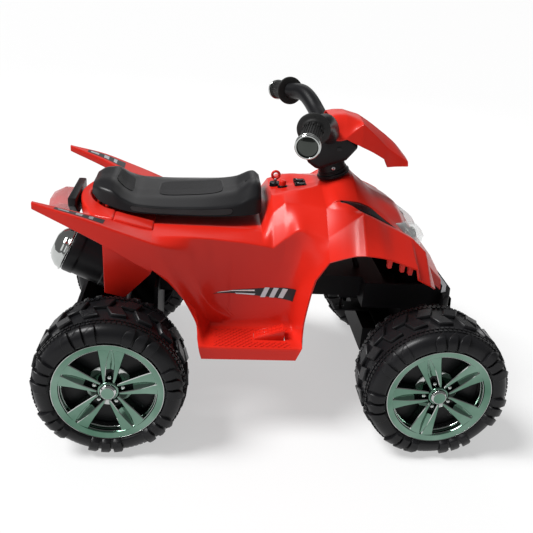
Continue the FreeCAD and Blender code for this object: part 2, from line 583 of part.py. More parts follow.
# Key switch, key, push button with bezel, and rocker switches on the tank
ROCKER_HOUSING_HALF_SHARES = (.013, .0095)
ROCKER_POCKET_HALF_SHARES = (.0105, .0066)
ROCKER_POCKET_SHARE = .496
ROCKER_OUTLINE_SHARES = ((-.009, .0015), (-.009, .005), (0, .0035), (.009, .005), (.009, .0015), (0, -.004))
ROCKER_HALF_SHARE = .0062
ROCKER_PIVOT_SHARE = .509
ROCKER_TRUNNION_RADIUS = 1.2

switch_floor = height(SWITCH_FLOOR_SHARE)
key_face, button_face = height(KEY_FACE_SHARE), height(BUTTON_FACE_SHARE)
key_switch = upright(KEY_SPOT_SHARES, KEY_BASE_RADIUS, switch_floor, key_face)
body = body.cut(key_switch)
key_foot = key_face - KEY_LIFT
key_top = key_face + KEY_LIFT
key_room = upright(KEY_SPOT_SHARES, KEY_STEM_RADIUS + RUN_FIT, key_foot - MOVING_GAP, key_face)
save("key_switch", key_switch.cut(key_room))
bow_centre = FreeCAD.Vector(KEY_SPOT_SHARES[0] * GRID, KEY_SPOT_SHARES[1] * GRID, key_top + KEY_RADIUS)
key = upright(KEY_SPOT_SHARES, KEY_STEM_RADIUS, key_foot, key_top + KEY_BOW_WIRE)
key = key.fuse(Part.makeTorus(KEY_RADIUS, KEY_BOW_WIRE, bow_centre, SIDE))
save("key", key)
bezel = upright(BUTTON_SPOT_SHARES, BUTTON_BEZEL_RADIUS, switch_floor, button_face)
body = body.cut(bezel)
button_foot = button_face - BUTTON_HEIGHT
bezel = bezel.cut(upright(BUTTON_SPOT_SHARES, BUTTON_RADIUS + RUN_FIT, button_foot - KEY_LIFT, button_face))
save("button_bezel", bezel)
save("push_button", upright(BUTTON_SPOT_SHARES, BUTTON_RADIUS, button_foot, button_face + BUTTON_HEIGHT))
housings = []
rockers = []
for spot_x, spot_y in ROCKER_SPOT_SHARES:
    outer_x, outer_y = ROCKER_HOUSING_HALF_SHARES
    inner_x, inner_y = ROCKER_POCKET_HALF_SHARES
    outer = block((spot_x - outer_x, spot_x + outer_x, spot_y - outer_y, spot_y + outer_y,
                   SWITCH_FLOOR_SHARE, ROCKER_FACE_SHARE))
    body = body.cut(outer)
    pocket = block((spot_x - inner_x, spot_x + inner_x, spot_y - inner_y, spot_y + inner_y,
                    ROCKER_POCKET_SHARE, ROCKER_FACE_SHARE))
    start = at(spot_x, spot_y - ROCKER_HOUSING_HALF_SHARES[1], ROCKER_PIVOT_SHARE)
    end = at(spot_x, spot_y + ROCKER_HOUSING_HALF_SHARES[1], ROCKER_PIVOT_SHARE)
    housings.append(outer.cut(pocket).cut(rod(start, end, ROCKER_TRUNNION_RADIUS + RUN_FIT)))
    side_y = spot_y - ROCKER_HALF_SHARE
    outline = [at(spot_x + x, side_y, ROCKER_PIVOT_SHARE + z) for x, z in ROCKER_OUTLINE_SHARES]
    rocker = Part.Face(ring(outline)).extrude(SIDE * (2 * ROCKER_HALF_SHARE * GRID))
    rockers.append(rocker.fuse(rod(start, end, ROCKER_TRUNNION_RADIUS)).removeSplitter())
save("rocker_housings", Part.makeCompound(housings))
save("rocker_left", rockers[0])
save("rocker_right", rockers[1])
save("body_shell", body)

# Front cowl with the boss for the column, half lines from the middle outwards
COWL_SHARES = (
    (.098, ((0, .5176), (-.034, .5176), (-.1245, .4955), (-.1255, .472))),
    (.125, ((0, .5274), (-.034, .5274), (-.12, .512), (-.1215, .488))),
    (.168, ((0, .5431), (-.034, .5431), (-.117, .5095), (-.1195, .492))),
    (.19, ((0, .528), (-.044, .5215), (-.1175, .5025), (-.1215, .496))),
    (.22, ((0, .505), (-.055, .5), (-.118, .4885), (-.136, .4825))),
    (.25, ((0, .4905), (-.062, .487), (-.118, .4695), (-.149, .463))),
    (.277, ((0, .478), (-.062, .4705), (-.115, .447), (-.135, .437))),
    (.301, ((0, .451), (-.062, .438), (-.117, .42), (-.13, .41))),
    (.34, ((0, .402), (-.062, .39), (-.118, .375), (-.124, .345))),
    (.392, ((0, .342), (-.06, .332), (-.1, .322), (-.106, .3))))
LENS_TOP_SHARES = ((.25, -.121, .4645), (.27, -.121, .4645), (.322, -.036, .441), (.296, -.036, .441))
LENS_LOW_SHARES = ((.28, -.121, .405), (.318, -.121, .405), (.356, -.036, .405), (.325, -.036, .405))

cowl = both(skin(COWL_SHARES, WALL))
lens = loft([[at(*corner) for corner in corners] for corners in (LENS_TOP_SHARES, LENS_LOW_SHARES)])
cowl = cowl.cut(lens).cut(mirrored(lens))
hole_low = COLUMN_BASE - COLUMN_AXIS * (2 * BUSH_DEPTH)
cowl = cowl.cut(rod(hole_low, COLUMN_BASE + COLUMN_AXIS * BUSH_DEPTH, BUSH_RADIUS + SEAT_GAP))
save("headlight_lens_right", lens)
save("headlight_lens_left", mirrored(lens))
save("front_cowl", cowl)

# Front fenders and the black strips between fenders and cowl
FENDER_SHARES = (
    (.098, ((-.1273, .4948), (-.1285, .4942), (-.202, .4556), (-.241, .418))),
    (.125, ((-.1242, .51), (-.143, .4985), (-.19, .474), (-.248, .4315))),
    (.1455, ((-.1385, .5085), (-.155, .4998), (-.1805, .4888), (-.253, .4405))),
    (.1645, ((-.1555, .502), (-.159, .5018), (-.17, .501), (-.2565, .4427))),
    (.195, ((-.1555, .4895), (-.159, .4897), (-.172, .489), (-.2585, .441))),
    (.2285, ((-.1575, .4747), (-.161, .4752), (-.174, .475), (-.26, .434))),
    (.256, ((-.1595, .463), (-.163, .4637), (-.176, .464), (-.26, .4245))),
    (.276, ((-.1615, .4535), (-.165, .4543), (-.178, .4545), (-.258, .417))),
    (.283, ((-.1625, .45), (-.166, .4508), (-.179, .451), (-.2555, .393))),
    (.3115, ((-.17, .4255), (-.1735, .4263), (-.186, .4265), (-.249, .377))),
    (.331, ((-.2115, .364), (-.2135, .3642), (-.221, .3643), (-.229, .361))))
STRIP_SHARES = (
    (.1275, ((-.1209, .5035), (-.1235, .5033))),
    (.1455, ((-.1199, .502), (-.137, .5005))),
    (.1645, ((-.1191, .4985), (-.154, .495))),
    (.195, ((-.1205, .487), (-.1545, .4825))),
    (.2285, ((-.1222, .4695), (-.1565, .4665))),
    (.245, ((-.1222, .458), (-.1577, .4575))),
    (.258, ((-.1222, .446), (-.1587, .4485))))
fender = skin(FENDER_SHARES, WALL)
save("front_fender_right", fender)
save("front_fender_left", mirrored(fender))
strip_piece = skin(STRIP_SHARES, STRIP_WALL).cut(fender).cut(cowl)
save("cowl_strip_right", strip_piece)
save("cowl_strip_left", mirrored(strip_piece))

# Rear fender: wing blades, deck, arch behind the seat, inner arch panels and hinge brackets
WING_SHARES = (
    (-.494, ((-.218, .498), (-.218, .512), (-.206, .512), (-.206, .498))),
    (-.412, ((-.228, .46), (-.228, .492), (-.186, .486), (-.186, .468))),
    (-.35, ((-.23, .427), (-.227, .4705), (-.165, .464), (-.17, .44))),
    (-.2654, ((-.217, .372), (-.222, .4385), (-.16, .445), (-.16, .428))))
DECK_SHARES = (-.4, -.2654, -.12, .12, .434, .442)
ARCH_SHARES = (
    (-.345, -.168), (-.39, -.15), (-.412, -.098), (-.428, -.05), (-.435, 0), (-.428, .05), (-.412, .098),
    (-.39, .15), (-.345, .168), (-.345, .116), (-.368, .1), (-.384, .078), (-.4, .05), (-.412, 0),
    (-.4, -.05), (-.384, -.078), (-.368, -.1), (-.345, -.116))
ARCH_Z_SHARES = (.434, .468)
RIM_SHARES = ((-.346, .434), (-.346, .467), (-.32, .46), (-.2654, .4475), (-.2654, .434))
RIM_Y_SHARES = (-.168, -.118)
INNER_PANEL_SHARES = (
    (-.37, .455), (-.367, .297), (-.325, .287), (-.27, .345), (-.2654, .36), (-.2654, .435))
INNER_PANEL_Y_SHARES = (-.168, -.164)
HINGE_SPOT_SHARES = (-.385, .46)
BRACKET_SHARES = (-.393, -.377, -.0575, -.0465, .438, .4685)
SEAT_LUG_SHARES = (-.391, -.379, -.045, -.032, .4515, .508)

wing = loft([[at(x, y, z) for y, z in line] for x, line in WING_SHARES])
inner_panel = side_plate(INNER_PANEL_SHARES, INNER_PANEL_Y_SHARES)
rim_side = side_plate(RIM_SHARES, RIM_Y_SHARES)
bracket = block(BRACKET_SHARES)
arch = plan_prism(ARCH_SHARES, *ARCH_Z_SHARES)
hinge_x, hinge_z = HINGE_SPOT_SHARES[0] * GRID, height(HINGE_SPOT_SHARES[1])
hinge_end = FreeCAD.Vector(hinge_x, BRACKET_SHARES[2] * GRID, hinge_z)
hinge_pin = rod(hinge_end, FreeCAD.Vector(hinge_x, -hinge_end.y, hinge_z), HINGE_PIN_RADIUS)
rear_pieces = [arch]
for piece in (wing, rim_side, inner_panel, bracket):
    rear_pieces += [piece, mirrored(piece)]
rear = block(DECK_SHARES).multiFuse(rear_pieces)
save("rear_fender", rear.cut(hinge_pin).removeSplitter())
save("seat_hinge_pin", hinge_pin)

# Seat: closed cross lines as (x, half widths and heights of the top edge, the shoulder and the lower edge)
SEAT_SHARES = (
    (-.402, (.04, .502), (.058, .496), (.062, .484)),
    (-.385, (.048, .511), (.076, .501), (.083, .474)),
    (-.36, (.05, .514), (.09, .499), (.098, .468)),
    (-.332, (.058, .494), (.1, .484), (.108, .464)),
    (-.302, (.06, .481), (.106, .476), (.113, .461)),
    (-.25, (.06, .482), (.11, .474), (.116, .4605)),
    (-.18, (.06, .4865), (.111, .476), (.117, .4605)),
    (-.13, (.058, .493), (.108, .479), (.115, .461)),
    (-.09, (.055, .502), (.102, .486), (.11, .462)),
    (-.05, (.045, .522), (.088, .498), (.098, .463)),
    (-.0375, (.042, .514), (.08, .491), (.09, .466)))


def seat_sections(inset):
    sections = []
    for x, top, shoulder, low in SEAT_SHARES:
        line = [(half * GRID - inset, height(z) - inset) for half, z in (top, shoulder)]
        line.append((low[0] * GRID - inset, height(low[1]) - 2 * inset))
        full = [(-y, z) for y, z in line] + line[::-1]
        sections.append([FreeCAD.Vector(x * GRID, y, z) for y, z in full])
    return sections


SEAT_ROOM_SHARES = (-.396, -.042, -.12, .12, .44, .54)
room = loft(seat_sections(SEAT_WALL)).common(block(SEAT_ROOM_SHARES))
seat = loft(seat_sections(0)).cut(room)
seat_lug = block(SEAT_LUG_SHARES)
seat = seat.multiFuse([seat_lug, mirrored(seat_lug)])
seat = seat.cut(rod(hinge_end, FreeCAD.Vector(hinge_x, -hinge_end.y, hinge_z), HINGE_PIN_RADIUS + RUN_FIT))
save("seat", seat.removeSplitter())

# Tail light, muffler, battery and bumper
TAIL_BRACKET_SHARES = (-.453, -.4353, -.075, .075, .425, .474)
TAIL_LENS_SHARES = ((-.453, .056, .426, .463), (-.475, .054, .428, .464), (-.5, .04, .434, .453))
MUFFLER_SEAM_SHARES = (-.446, -.11, .372)
MUFFLER_HANGER_SHARES = (-.39, -.365, -.125, -.095, .37, .4336)
CAP_STEP_SHARES = ((1, 0), (.93, .45), (.7, .8), (.42, 1))
OUTLET_DROP = 20.0
BATTERY_SHARES = (-.25, -.099, -.0325, .0325, .3052, .3995)
BUMPER_SHARES = ((.4, -.115), (.418, -.105), (.436, -.06), (.436, .06), (.418, .105), (.4, .115))
BUMPER_Z_SHARES = (.215, .285)

save("tail_light_bracket", block(TAIL_BRACKET_SHARES))
tail_sections = []
for x, half, z0, z1 in TAIL_LENS_SHARES:
    tail_sections.append([at(x, -half, z0), at(x, half, z0), at(x, half, z1), at(x, -half, z1)])
save("tail_light_lens", loft(tail_sections))
tilt = math.radians(MUFFLER_TILT_DEGREES)
muffler_way = FreeCAD.Vector(-math.cos(tilt), 0, math.sin(tilt))
seam = at(*MUFFLER_SEAM_SHARES)
can = rod(seam - muffler_way * MUFFLER_LENGTH, seam, MUFFLER_RADIUS).fuse(block(MUFFLER_HANGER_SHARES))
save("muffler", can.removeSplitter())
dome = []
for (r0, s0), (r1, s1) in zip(CAP_STEP_SHARES, CAP_STEP_SHARES[1:]):
    dome.append(Part.makeCone(r0 * MUFFLER_RADIUS, r1 * MUFFLER_RADIUS, (s1 - s0) * MUFFLER_CAP_LENGTH,
                              seam + muffler_way * (s0 * MUFFLER_CAP_LENGTH), muffler_way))
outlet_start = seam - UP * OUTLET_DROP + muffler_way * (MUFFLER_CAP_LENGTH / 2)
outlet = rod(outlet_start, outlet_start + muffler_way * OUTLET_LENGTH, OUTLET_RADIUS)
outlet_hole = rod(outlet_start, outlet_start + muffler_way * (2 * OUTLET_LENGTH), OUTLET_RADIUS - OUTLET_WALL)
muffler_cap = dome[0].multiFuse(dome[1:] + [outlet]).cut(outlet_hole).removeSplitter()
save("muffler_cap", muffler_cap)
save("battery", block(BATTERY_SHARES))
save("front_bumper", plan_prism(BUMPER_SHARES, *BUMPER_Z_SHARES))
save("chassis", chassis.removeSplitter())
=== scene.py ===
"""Visual model of a children's ride-on quad bike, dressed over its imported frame."""
import logging
import math
from bisect import bisect_right
from collections.abc import Callable, Iterable, Sequence
from dataclasses import dataclass, field
from enum import Enum, IntEnum

import bmesh
import bpy
from mathutils import Matrix, Vector
from mathutils.bvhtree import BVHTree


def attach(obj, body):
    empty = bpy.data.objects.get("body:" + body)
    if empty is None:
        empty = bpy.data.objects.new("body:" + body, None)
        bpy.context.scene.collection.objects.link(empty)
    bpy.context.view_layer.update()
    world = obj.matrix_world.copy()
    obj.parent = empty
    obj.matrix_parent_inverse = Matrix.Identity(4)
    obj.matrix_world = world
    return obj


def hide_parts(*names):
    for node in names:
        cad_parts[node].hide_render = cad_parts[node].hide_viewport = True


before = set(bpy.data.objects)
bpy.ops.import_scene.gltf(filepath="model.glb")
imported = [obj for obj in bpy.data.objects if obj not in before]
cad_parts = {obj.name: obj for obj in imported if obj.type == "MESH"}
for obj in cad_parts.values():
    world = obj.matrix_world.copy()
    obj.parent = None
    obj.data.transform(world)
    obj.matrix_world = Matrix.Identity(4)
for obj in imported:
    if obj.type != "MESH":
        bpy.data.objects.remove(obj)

LOG = logging.getLogger("quad_bike")
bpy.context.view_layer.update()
Pair = tuple[float, float]
Triple = tuple[float, float, float]
Sizes = tuple[float, ...]
Outline = tuple[Pair, ...]
Station = tuple[float, Outline]
Mesh = bmesh.types.BMesh
SIDES = {"right": 1.0, "left": -1.0}
ALONG = Vector((1, 0, 0))
UP = Vector((0, 0, 1))
ACROSS = Vector((0, 1, 0))
WHITE = (1, 1, 1, 1)
MERGE_GAP = 1e-5  # largest distance between corners that are merged
BEND_SHARE = 0.45  # largest share of a straight that one bend takes
COAT_ROUGHNESS = 0.06
PLASTIC_IOR = 1.47
CLOUD_SCALE = 9.0  # colour clouds per metre
CLOUD_DETAIL = 4.0
CLOUD_EDGES = (0.35, 0.75)  # where the main colour ends and the tint begins
RELIEF_HEIGHT = 0.001


class Body(Enum):
    """Moving bodies of the frame that pieces ride on."""

    FRAME = "frame"
    STEERING = "steering"
    SEAT = "seat"
    PEDAL = "pedal"
    KEY = "key"
    BUTTON = "button"
    ROCKER_LEFT = "rocker_left"
    ROCKER_RIGHT = "rocker_right"
    WHEEL_FRONT_RIGHT = "wheel_front_right"
    WHEEL_FRONT_LEFT = "wheel_front_left"
    WHEEL_REAR_RIGHT = "wheel_rear_right"
    WHEEL_REAR_LEFT = "wheel_rear_left"


class Axis(IntEnum):
    """Axes of the bike: forwards, to the left and up."""

    X = 0
    Y = 1
    Z = 2


class Relief(Enum):
    """Fine relief that a finish carries on its surface."""

    POLISHED = "polished"
    GRAINED = "grained"
    PEBBLED = "pebbled"


NOISE_DETAIL = {Relief.POLISHED: 1.0, Relief.GRAINED: 6.0}


def set_inputs(node: bpy.types.Node, values: dict[str, float | Sizes]) -> None:
    """Sets the values of some of a node's sockets."""
    for name, value in values.items():
        node.inputs[name].default_value = value


@dataclass(frozen=True)
class Finish:
    """A procedural surface of a moulded, plated or clear piece.

    Attributes:
        name: Name of the material.
        slot: Material slot of the record that the finish belongs to; not used.
        colour: Main colour.
        tint: Colour that drifts into the main one in soft clouds.
        roughness: Lowest roughness.
        spread: How much rougher the cloudy patches are.
        metallic: 1 for plated pieces.
        coat: Weight of the clear gloss on top.
        relief: Kind of fine relief.
        scale: Cells of the relief per metre.
        depth: Strength of the relief.
        clear: Share of light that passes through.
        shine: Strength of the reflections of an unplated piece.
    """

    name: str
    slot: str
    colour: Triple
    tint: Triple
    roughness: float
    spread: float = 0.08
    metallic: float = 0.0
    coat: float = 0.0
    relief: Relief = Relief.POLISHED
    scale: float = 260.0
    depth: float = 0.04
    clear: float = 0.0
    shine: float = 0.3

    def material(self) -> bpy.types.Material:
        """Finds or makes the material.

        Returns:
            The material with its nodes set.
        """
        made = bpy.data.materials.get(self.name)
        if made is not None:
            return made
        made = bpy.data.materials.new(self.name)
        made.use_nodes = True
        nodes, links = made.node_tree.nodes, made.node_tree.links
        shader = nodes["Principled BSDF"]
        set_inputs(shader, {
            "Metallic": self.metallic, "Coat Weight": self.coat, "Coat Roughness": COAT_ROUGHNESS,
            "Transmission Weight": self.clear, "IOR": PLASTIC_IOR, "Specular IOR Level": self.shine})
        place = nodes.new("ShaderNodeTexCoord")
        clouds = nodes.new("ShaderNodeTexNoise")
        set_inputs(clouds, {"Scale": CLOUD_SCALE, "Detail": CLOUD_DETAIL})
        links.new(place.outputs["Object"], clouds.inputs["Vector"])
        colours = nodes.new("ShaderNodeValToRGB")
        for stop, edge, colour in zip(colours.color_ramp.elements, CLOUD_EDGES, (self.colour, self.tint)):
            stop.position = edge
            stop.color = (*colour, 1)
        links.new(clouds.outputs["Fac"], colours.inputs["Fac"])
        links.new(colours.outputs["Color"], shader.inputs["Base Color"])
        gloss = nodes.new("ShaderNodeMapRange")
        set_inputs(gloss, {"To Min": self.roughness, "To Max": self.roughness + self.spread})
        links.new(clouds.outputs["Fac"], gloss.inputs["Value"])
        links.new(gloss.outputs["Result"], shader.inputs["Roughness"])
        bump = nodes.new("ShaderNodeBump")
        set_inputs(bump, {"Strength": self.depth, "Distance": RELIEF_HEIGHT})
        links.new(self.relief_height(nodes, links, place), bump.inputs["Height"])
        links.new(bump.outputs["Normal"], shader.inputs["Normal"])
        return made

    def relief_height(self, nodes: bpy.types.Nodes, links: bpy.types.NodeLinks,
                      place: bpy.types.Node) -> bpy.types.NodeSocket:
        """Makes the height of the fine relief.

        Args:
            nodes: Nodes of the material.
            links: Links of the material.
            place: Texture coordinate node to read.

        Returns:
            The socket that gives the height.
        """
        pebbled = self.relief is Relief.PEBBLED
        grain = nodes.new("ShaderNodeTexVoronoi" if pebbled else "ShaderNodeTexNoise")
        links.new(place.outputs["Object"], grain.inputs["Vector"])
        set_inputs(grain, {"Scale": self.scale})
        if pebbled:
            return grain.outputs["Distance"]
        set_inputs(grain, {"Detail": NOISE_DETAIL[self.relief]})
        return grain.outputs["Fac"]


RED = Finish("gloss_red_plastic", "red_body", (.57, .016, .008), (.6, .018, .009), .26, coat=.06, depth=.015,
             shine=.2)
RED_MATT = Finish("grained_red_plastic", "red_body", (.54, .015, .008), (.57, .017, .009), .42,
                  relief=Relief.GRAINED, scale=900, depth=.12)
BLACK = Finish("satin_black_plastic", "black_trim", (.006, .006, .007), (.010, .010, .011), .32,
               relief=Relief.GRAINED, scale=1100, depth=.1, shine=.18)
BLACK_GLOSS = Finish("gloss_black_plastic", "black_trim", (.005, .005, .006), (.008, .008, .009), .2, coat=.06,
                     depth=.015, shine=.2)
FRAME_BLACK = Finish("moulded_black_frame", "black_frame", (.005, .005, .006), (.009, .009, .01), .5,
                     relief=Relief.GRAINED, scale=700, depth=.15, shine=.12)
GRIP_BLACK = Finish("soft_black_grip", "black_grip", (.007, .007, .007), (.012, .012, .012), .5,
                    relief=Relief.PEBBLED, scale=1400, depth=.2)
SEAT_BLACK = Finish("smooth_black_seat", "seat_black", (.008, .008, .009), (.012, .012, .013), .3,
                    relief=Relief.GRAINED, scale=1300, depth=.08, shine=.24)
SEAT_PANEL = Finish("pebbled_black_seat", "seat_black", (.012, .012, .013), (.018, .018, .019), .55,
                    relief=Relief.PEBBLED, scale=620, depth=.5)
TYRE = Finish("tyre_black_plastic", "tyre_black", (.006, .006, .007), (.01, .01, .011), .28, spread=.12,
              relief=Relief.GRAINED, scale=480, depth=.12, shine=.22)
# Chrome with a painted green reflection: the green-grey colour and its lighter clouds stand in for green
# surroundings mirrored in the plating.
CHROME = Finish("chrome_painted_green_reflection", "chrome", (.06, .15, .1), (.19, .3, .24), .08, spread=.05, metallic=1,
                coat=.5, depth=.006)
# Chrome darkened as a painted dark reflection, used on the grip caps' domed faces.
DARK_CHROME = Finish("chrome_painted_dark_reflection", "chrome", (.05, .055, .05), (.07, .075, .07), .1, spread=.05, metallic=1,
                     depth=.006)
# Plain chrome; on the wheel covers' edge beads and spoke roundings it is a painted highlight.
BRIGHT_CHROME = Finish("bright_chrome", "chrome", (.42, .43, .42), (.52, .54, .53), .06, spread=.05, metallic=1,
                       depth=.006)
STEEL = Finish("zinc_steel", "steel", (.48, .48, .5), (.58, .58, .6), .3, spread=.15, metallic=1,
               relief=Relief.GRAINED, scale=500, depth=.1)
CLEAR = Finish("clear_lens", "clear_lens", (.92, .94, .96), (.95, .96, .98), .05, spread=.03, clear=.9, depth=.01)
RED_LENS = Finish("red_lens", "red_lens", (.22, .006, .006), (.26, .008, .008), .16, spread=.04, clear=.05,
                  depth=.02, shine=.2)
DECAL_BLACK = Finish("decal_black", "black_trim", (.014, .014, .016), (.022, .022, .024), .26, depth=.02)
DECAL_SILVER = Finish("decal_silver", "steel", (.42, .43, .45), (.52, .53, .55), .28, metallic=.7, depth=.02)
DECAL_WHITE = Finish("decal_white", "clear_lens", (.8, .8, .8), (.86, .86, .86), .3, depth=.02)


def steps(start: float, end: float, count: int) -> list[float]:
    """Evenly spaced values from start to end, count gaps."""
    return [start + (end - start) * i / count for i in range(count + 1)]


def slope(knots: Sequence[float], values: Sequence[float], i: int) -> float:
    """Slope of a smooth line at one of its knots, without overshoot.

    Args:
        knots: Rising places along the line.
        values: Value at each knot.
        i: Which knot.

    Returns:
        The slope there.
    """
    rates = [(values[k + 1] - values[k]) / (knots[k + 1] - knots[k])
             for k in range(max(i - 1, 0), min(i + 1, len(knots) - 1))]
    first, last = rates[0], rates[-1]
    if first * last <= 0:
        return 0.0
    return 2 * first * last / (first + last)


def eased(knots: Sequence[float], values: Sequence[float], x: float, sharp: Sequence[float] = ()) -> float:
    """Smooth value at x through the values at the knots.

    Args:
        knots: Rising places along the line.
        values: Value at each knot.
        x: Where to read the line.
        sharp: Knots where the line may break its direction.

    Returns:
        The value at x.
    """
    i = min(max(bisect_right(knots, x) - 1, 0), len(knots) - 2)
    gap = knots[i + 1] - knots[i]
    rate = (values[i + 1] - values[i]) / gap
    s = min(max((x - knots[i]) / gap, 0.0), 1.0)
    leave = rate if knots[i] in sharp else slope(knots, values, i)
    reach = rate if knots[i + 1] in sharp else slope(knots, values, i + 1)
    start = (1 + 2 * s) * (1 - s) ** 2 * values[i] + s * (1 - s) ** 2 * gap * leave
    end = s * s * (3 - 2 * s) * values[i + 1] + s * s * (s - 1) * gap * reach
    return start + end


def bend(before: Vector, corner: Vector, after: Vector, radius: float, parts: int) -> list[Vector]:
    """Points of a rounded bend at a corner.

    Args:
        before: Corner before this one.
        corner: The corner.
        after: Corner after this one.
        radius: Length that the bend takes from each side.
        parts: Sides of the bend.

    Returns:
        The points, from one side to the other.
    """
    start, end = [corner.lerp(other, min(radius / max((other - corner).length, 1e-6), BEND_SHARE))
                  for other in (before, after)]
    return [start.lerp(corner, s).lerp(corner.lerp(end, s), s) for s in steps(0, 1, parts)]


@dataclass(frozen=True)
class Skin:
    """Surface through cross lines at stations along the bike.

    Attributes:
        stations: Each station's x and the (y, z) corners of its line.
        radii: Radius of the bend at each inner corner of the lines, or (x, radius) points along the bike.
        sharp: Stations where the surface may break its direction.
        closed: Whether the cross lines close on themselves.
        parts: Sides of each bend.
        fill: Points on the straight between two bends.
        span: First and last x of the surface, where stations beyond it only guide its direction.
        core: Point on the inner side of an open surface, that its faces look away from.
    """

    stations: tuple[Station, ...]
    radii: tuple[float | Outline, ...]
    sharp: tuple[float, ...] = ()
    closed: bool = False
    parts: int = 4
    fill: int = 3
    span: Pair | None = None
    core: Triple | None = None

    def ends(self) -> Pair:
        """First and last x of the surface."""
        return self.span or (self.stations[0][0], self.stations[-1][0])

    def line(self, x: float) -> list[Vector]:
        """Corners of the cross line at x.

        Args:
            x: Place along the bike.

        Returns:
            The corners, as many as a station has.
        """
        knots = [station for station, _ in self.stations]
        corners = []
        for same in zip(*(line for _, line in self.stations)):
            y, z = [eased(knots, values, x, self.sharp) for values in zip(*same)]
            corners.append(Vector((x, y, z)))
        return corners

    def run(self, x: float) -> list[Vector]:
        """Points of the cross line at x, with rounded bends.

        Args:
            x: Place along the bike.

        Returns:
            The points, as many at every x.
        """
        corners = self.line(x)
        bends = []
        for i, corner in enumerate(corners):
            if not self.closed and i in (0, len(corners) - 1):
                bends.append([corner])
                continue
            after = corners[(i + 1) % len(corners)]
            radius = self.radii[i if self.closed else i - 1]
            if not isinstance(radius, float):
                radius = eased([spot for spot, _ in radius], [size for _, size in radius], x)
            bends.append(bend(corners[i - 1], corner, after, radius, self.parts))
        if self.closed:
            bends.append([bends[0][0]])
        points = list(bends[0])
        for first, second in zip(bends, bends[1:]):
            points += [first[-1].lerp(second[0], s) for s in steps(0, 1, self.fill + 1)[1:-1]]
            points += second
        return points

    def count(self) -> int:
        """Number of points of a cross line."""
        return len(self.run(self.stations[0][0]))

    def point(self, x: float, t: float) -> Vector:
        """Point at x, t corners along the cross line, without rounding."""
        corners = self.line(x)
        k = min(max(int(t), 0), len(corners) - 2)
        return corners[k].lerp(corners[k + 1], t - k)

    def lifted(self, x: float, t: float, lift: float) -> Vector:
        """Point that stands off the surface on its outer side.

        Args:
            x: Place along the bike.
            t: Place along the cross line, in corners.
            lift: Height above the surface.

        Returns:
            The lifted point.
        """
        step = 1e-3
        along = self.point(x + step, t) - self.point(x - step, t)
        across = self.point(x, t + step) - self.point(x, t - step)
        return self.point(x, t) + across.cross(along).normalized() * lift

    def shell(self, columns: Sequence[float]) -> Mesh:
        """Grid on the whole surface.

        Args:
            columns: Places along the bike of its columns.

        Returns:
            The mesh.
        """
        runs = {x: self.run(x) for x in columns}
        bm = patch(columns, range(self.count()), lambda x, j: runs[x][int(j)])
        if self.core:
            turn_out(bm, self.core)
        return bm

    def capped(self, columns: Sequence[float], ends: Iterable[float]) -> Mesh:
        """Both halves of the surface, with a flat face at some of its ends.

        Args:
            columns: Places along the bike of its columns.
            ends: Places of the ends that are closed.

        Returns:
            The mesh.
        """
        bm = self.shell(columns)
        mirror_across(bm)
        for x in ends:
            cap(bm, x)
        turn_out(bm, self.core)
        return bm

    def columns(self, count: int) -> list[float]:
        """Even columns over the stations, with one on each sharp station.

        Args:
            count: Number of gaps.

        Returns:
            The places, rising.
        """
        spread = steps(*self.ends(), count)
        for x in [x for x in self.sharp if spread[0] < x < spread[-1]]:
            nearest = min(range(1, count), key=lambda i: abs(spread[i] - x))
            spread[nearest] = x
        return spread


def patch(columns: Sequence[float], rows: Sequence[float], place: Callable[[float, float], Vector]) -> Mesh:
    """Grid laid on a surface.

    Args:
        columns: First parameter of each column of corners.
        rows: Second parameter of each row of corners.
        place: Gives the point for a column's and a row's parameter.

    Returns:
        The mesh.
    """
    bm = bmesh.new()
    across, up = len(columns) - 1, len(rows) - 1
    bmesh.ops.create_grid(bm, x_segments=across, y_segments=up, size=1.0)
    for vert in bm.verts:
        column = columns[round((vert.co.x + 1) / 2 * across)]
        row = rows[round((vert.co.y + 1) / 2 * up)]
        vert.co = place(column, row)
    return bm


def cap(bm: Mesh, x: float) -> None:
    """Closes the end of a shell at x with a flat face down to its lower corners.

    Args:
        bm: Mesh of both halves of the shell.
        x: Place of the end along the bike.
    """
    rim = [e for e in bm.edges if e.is_boundary and all(abs(v.co.x - x) < 1e-6 for v in e.verts)]
    feet = sorted({v for e in rim for v in e.verts}, key=lambda v: v.co.z)[:2]
    rim.append(bm.edges.new(feet))
    bmesh.ops.contextual_create(bm, geom=rim)
    bmesh.ops.recalc_face_normals(bm, faces=bm.faces[:])


def cut_out(bm: Mesh, planes: Iterable[tuple[Vector, Vector]], inside: Callable[[Vector], bool],
            near: Callable[[Vector], bool] = lambda middle: True) -> None:
    """Cuts an opening: splits faces along planes and deletes those between them.

    Args:
        bm: The mesh.
        planes: Point and normal of each plane.
        inside: Whether a face with this middle is deleted.
        near: Whether a face with this middle may be split.
    """
    for spot, normal in planes:
        faces = [f for f in bm.faces if near(f.calc_center_median())]
        geom = dict.fromkeys(item for f in faces for item in (*f.verts, *f.edges, f))
        bmesh.ops.bisect_plane(bm, geom=list(geom), plane_co=spot, plane_no=normal)
    gone = [f for f in bm.faces if inside(f.calc_center_median())]
    bmesh.ops.delete(bm, geom=gone, context="FACES")


def turn_out(bm: Mesh, core: Triple) -> None:
    """Turns the faces of an open shell away from a point inside it.

    Args:
        bm: The mesh.
        core: Point on the inner side of the shell.
    """
    bm.normal_update()
    centre = Vector(core)
    away = sum((f.calc_center_median() - centre).dot(f.normal) * f.calc_area() for f in bm.faces)
    if away < 0:
        bmesh.ops.reverse_faces(bm, faces=bm.faces[:])


def close(bm: Mesh) -> None:
    """Merges doubles, fills open ends and points the faces of a closed piece outwards.

    Args:
        bm: The mesh.
    """
    bmesh.ops.remove_doubles(bm, verts=bm.verts[:], dist=MERGE_GAP)
    bmesh.ops.holes_fill(bm, edges=[e for e in bm.edges if e.is_boundary], sides=0)
    bmesh.ops.recalc_face_normals(bm, faces=bm.faces[:])


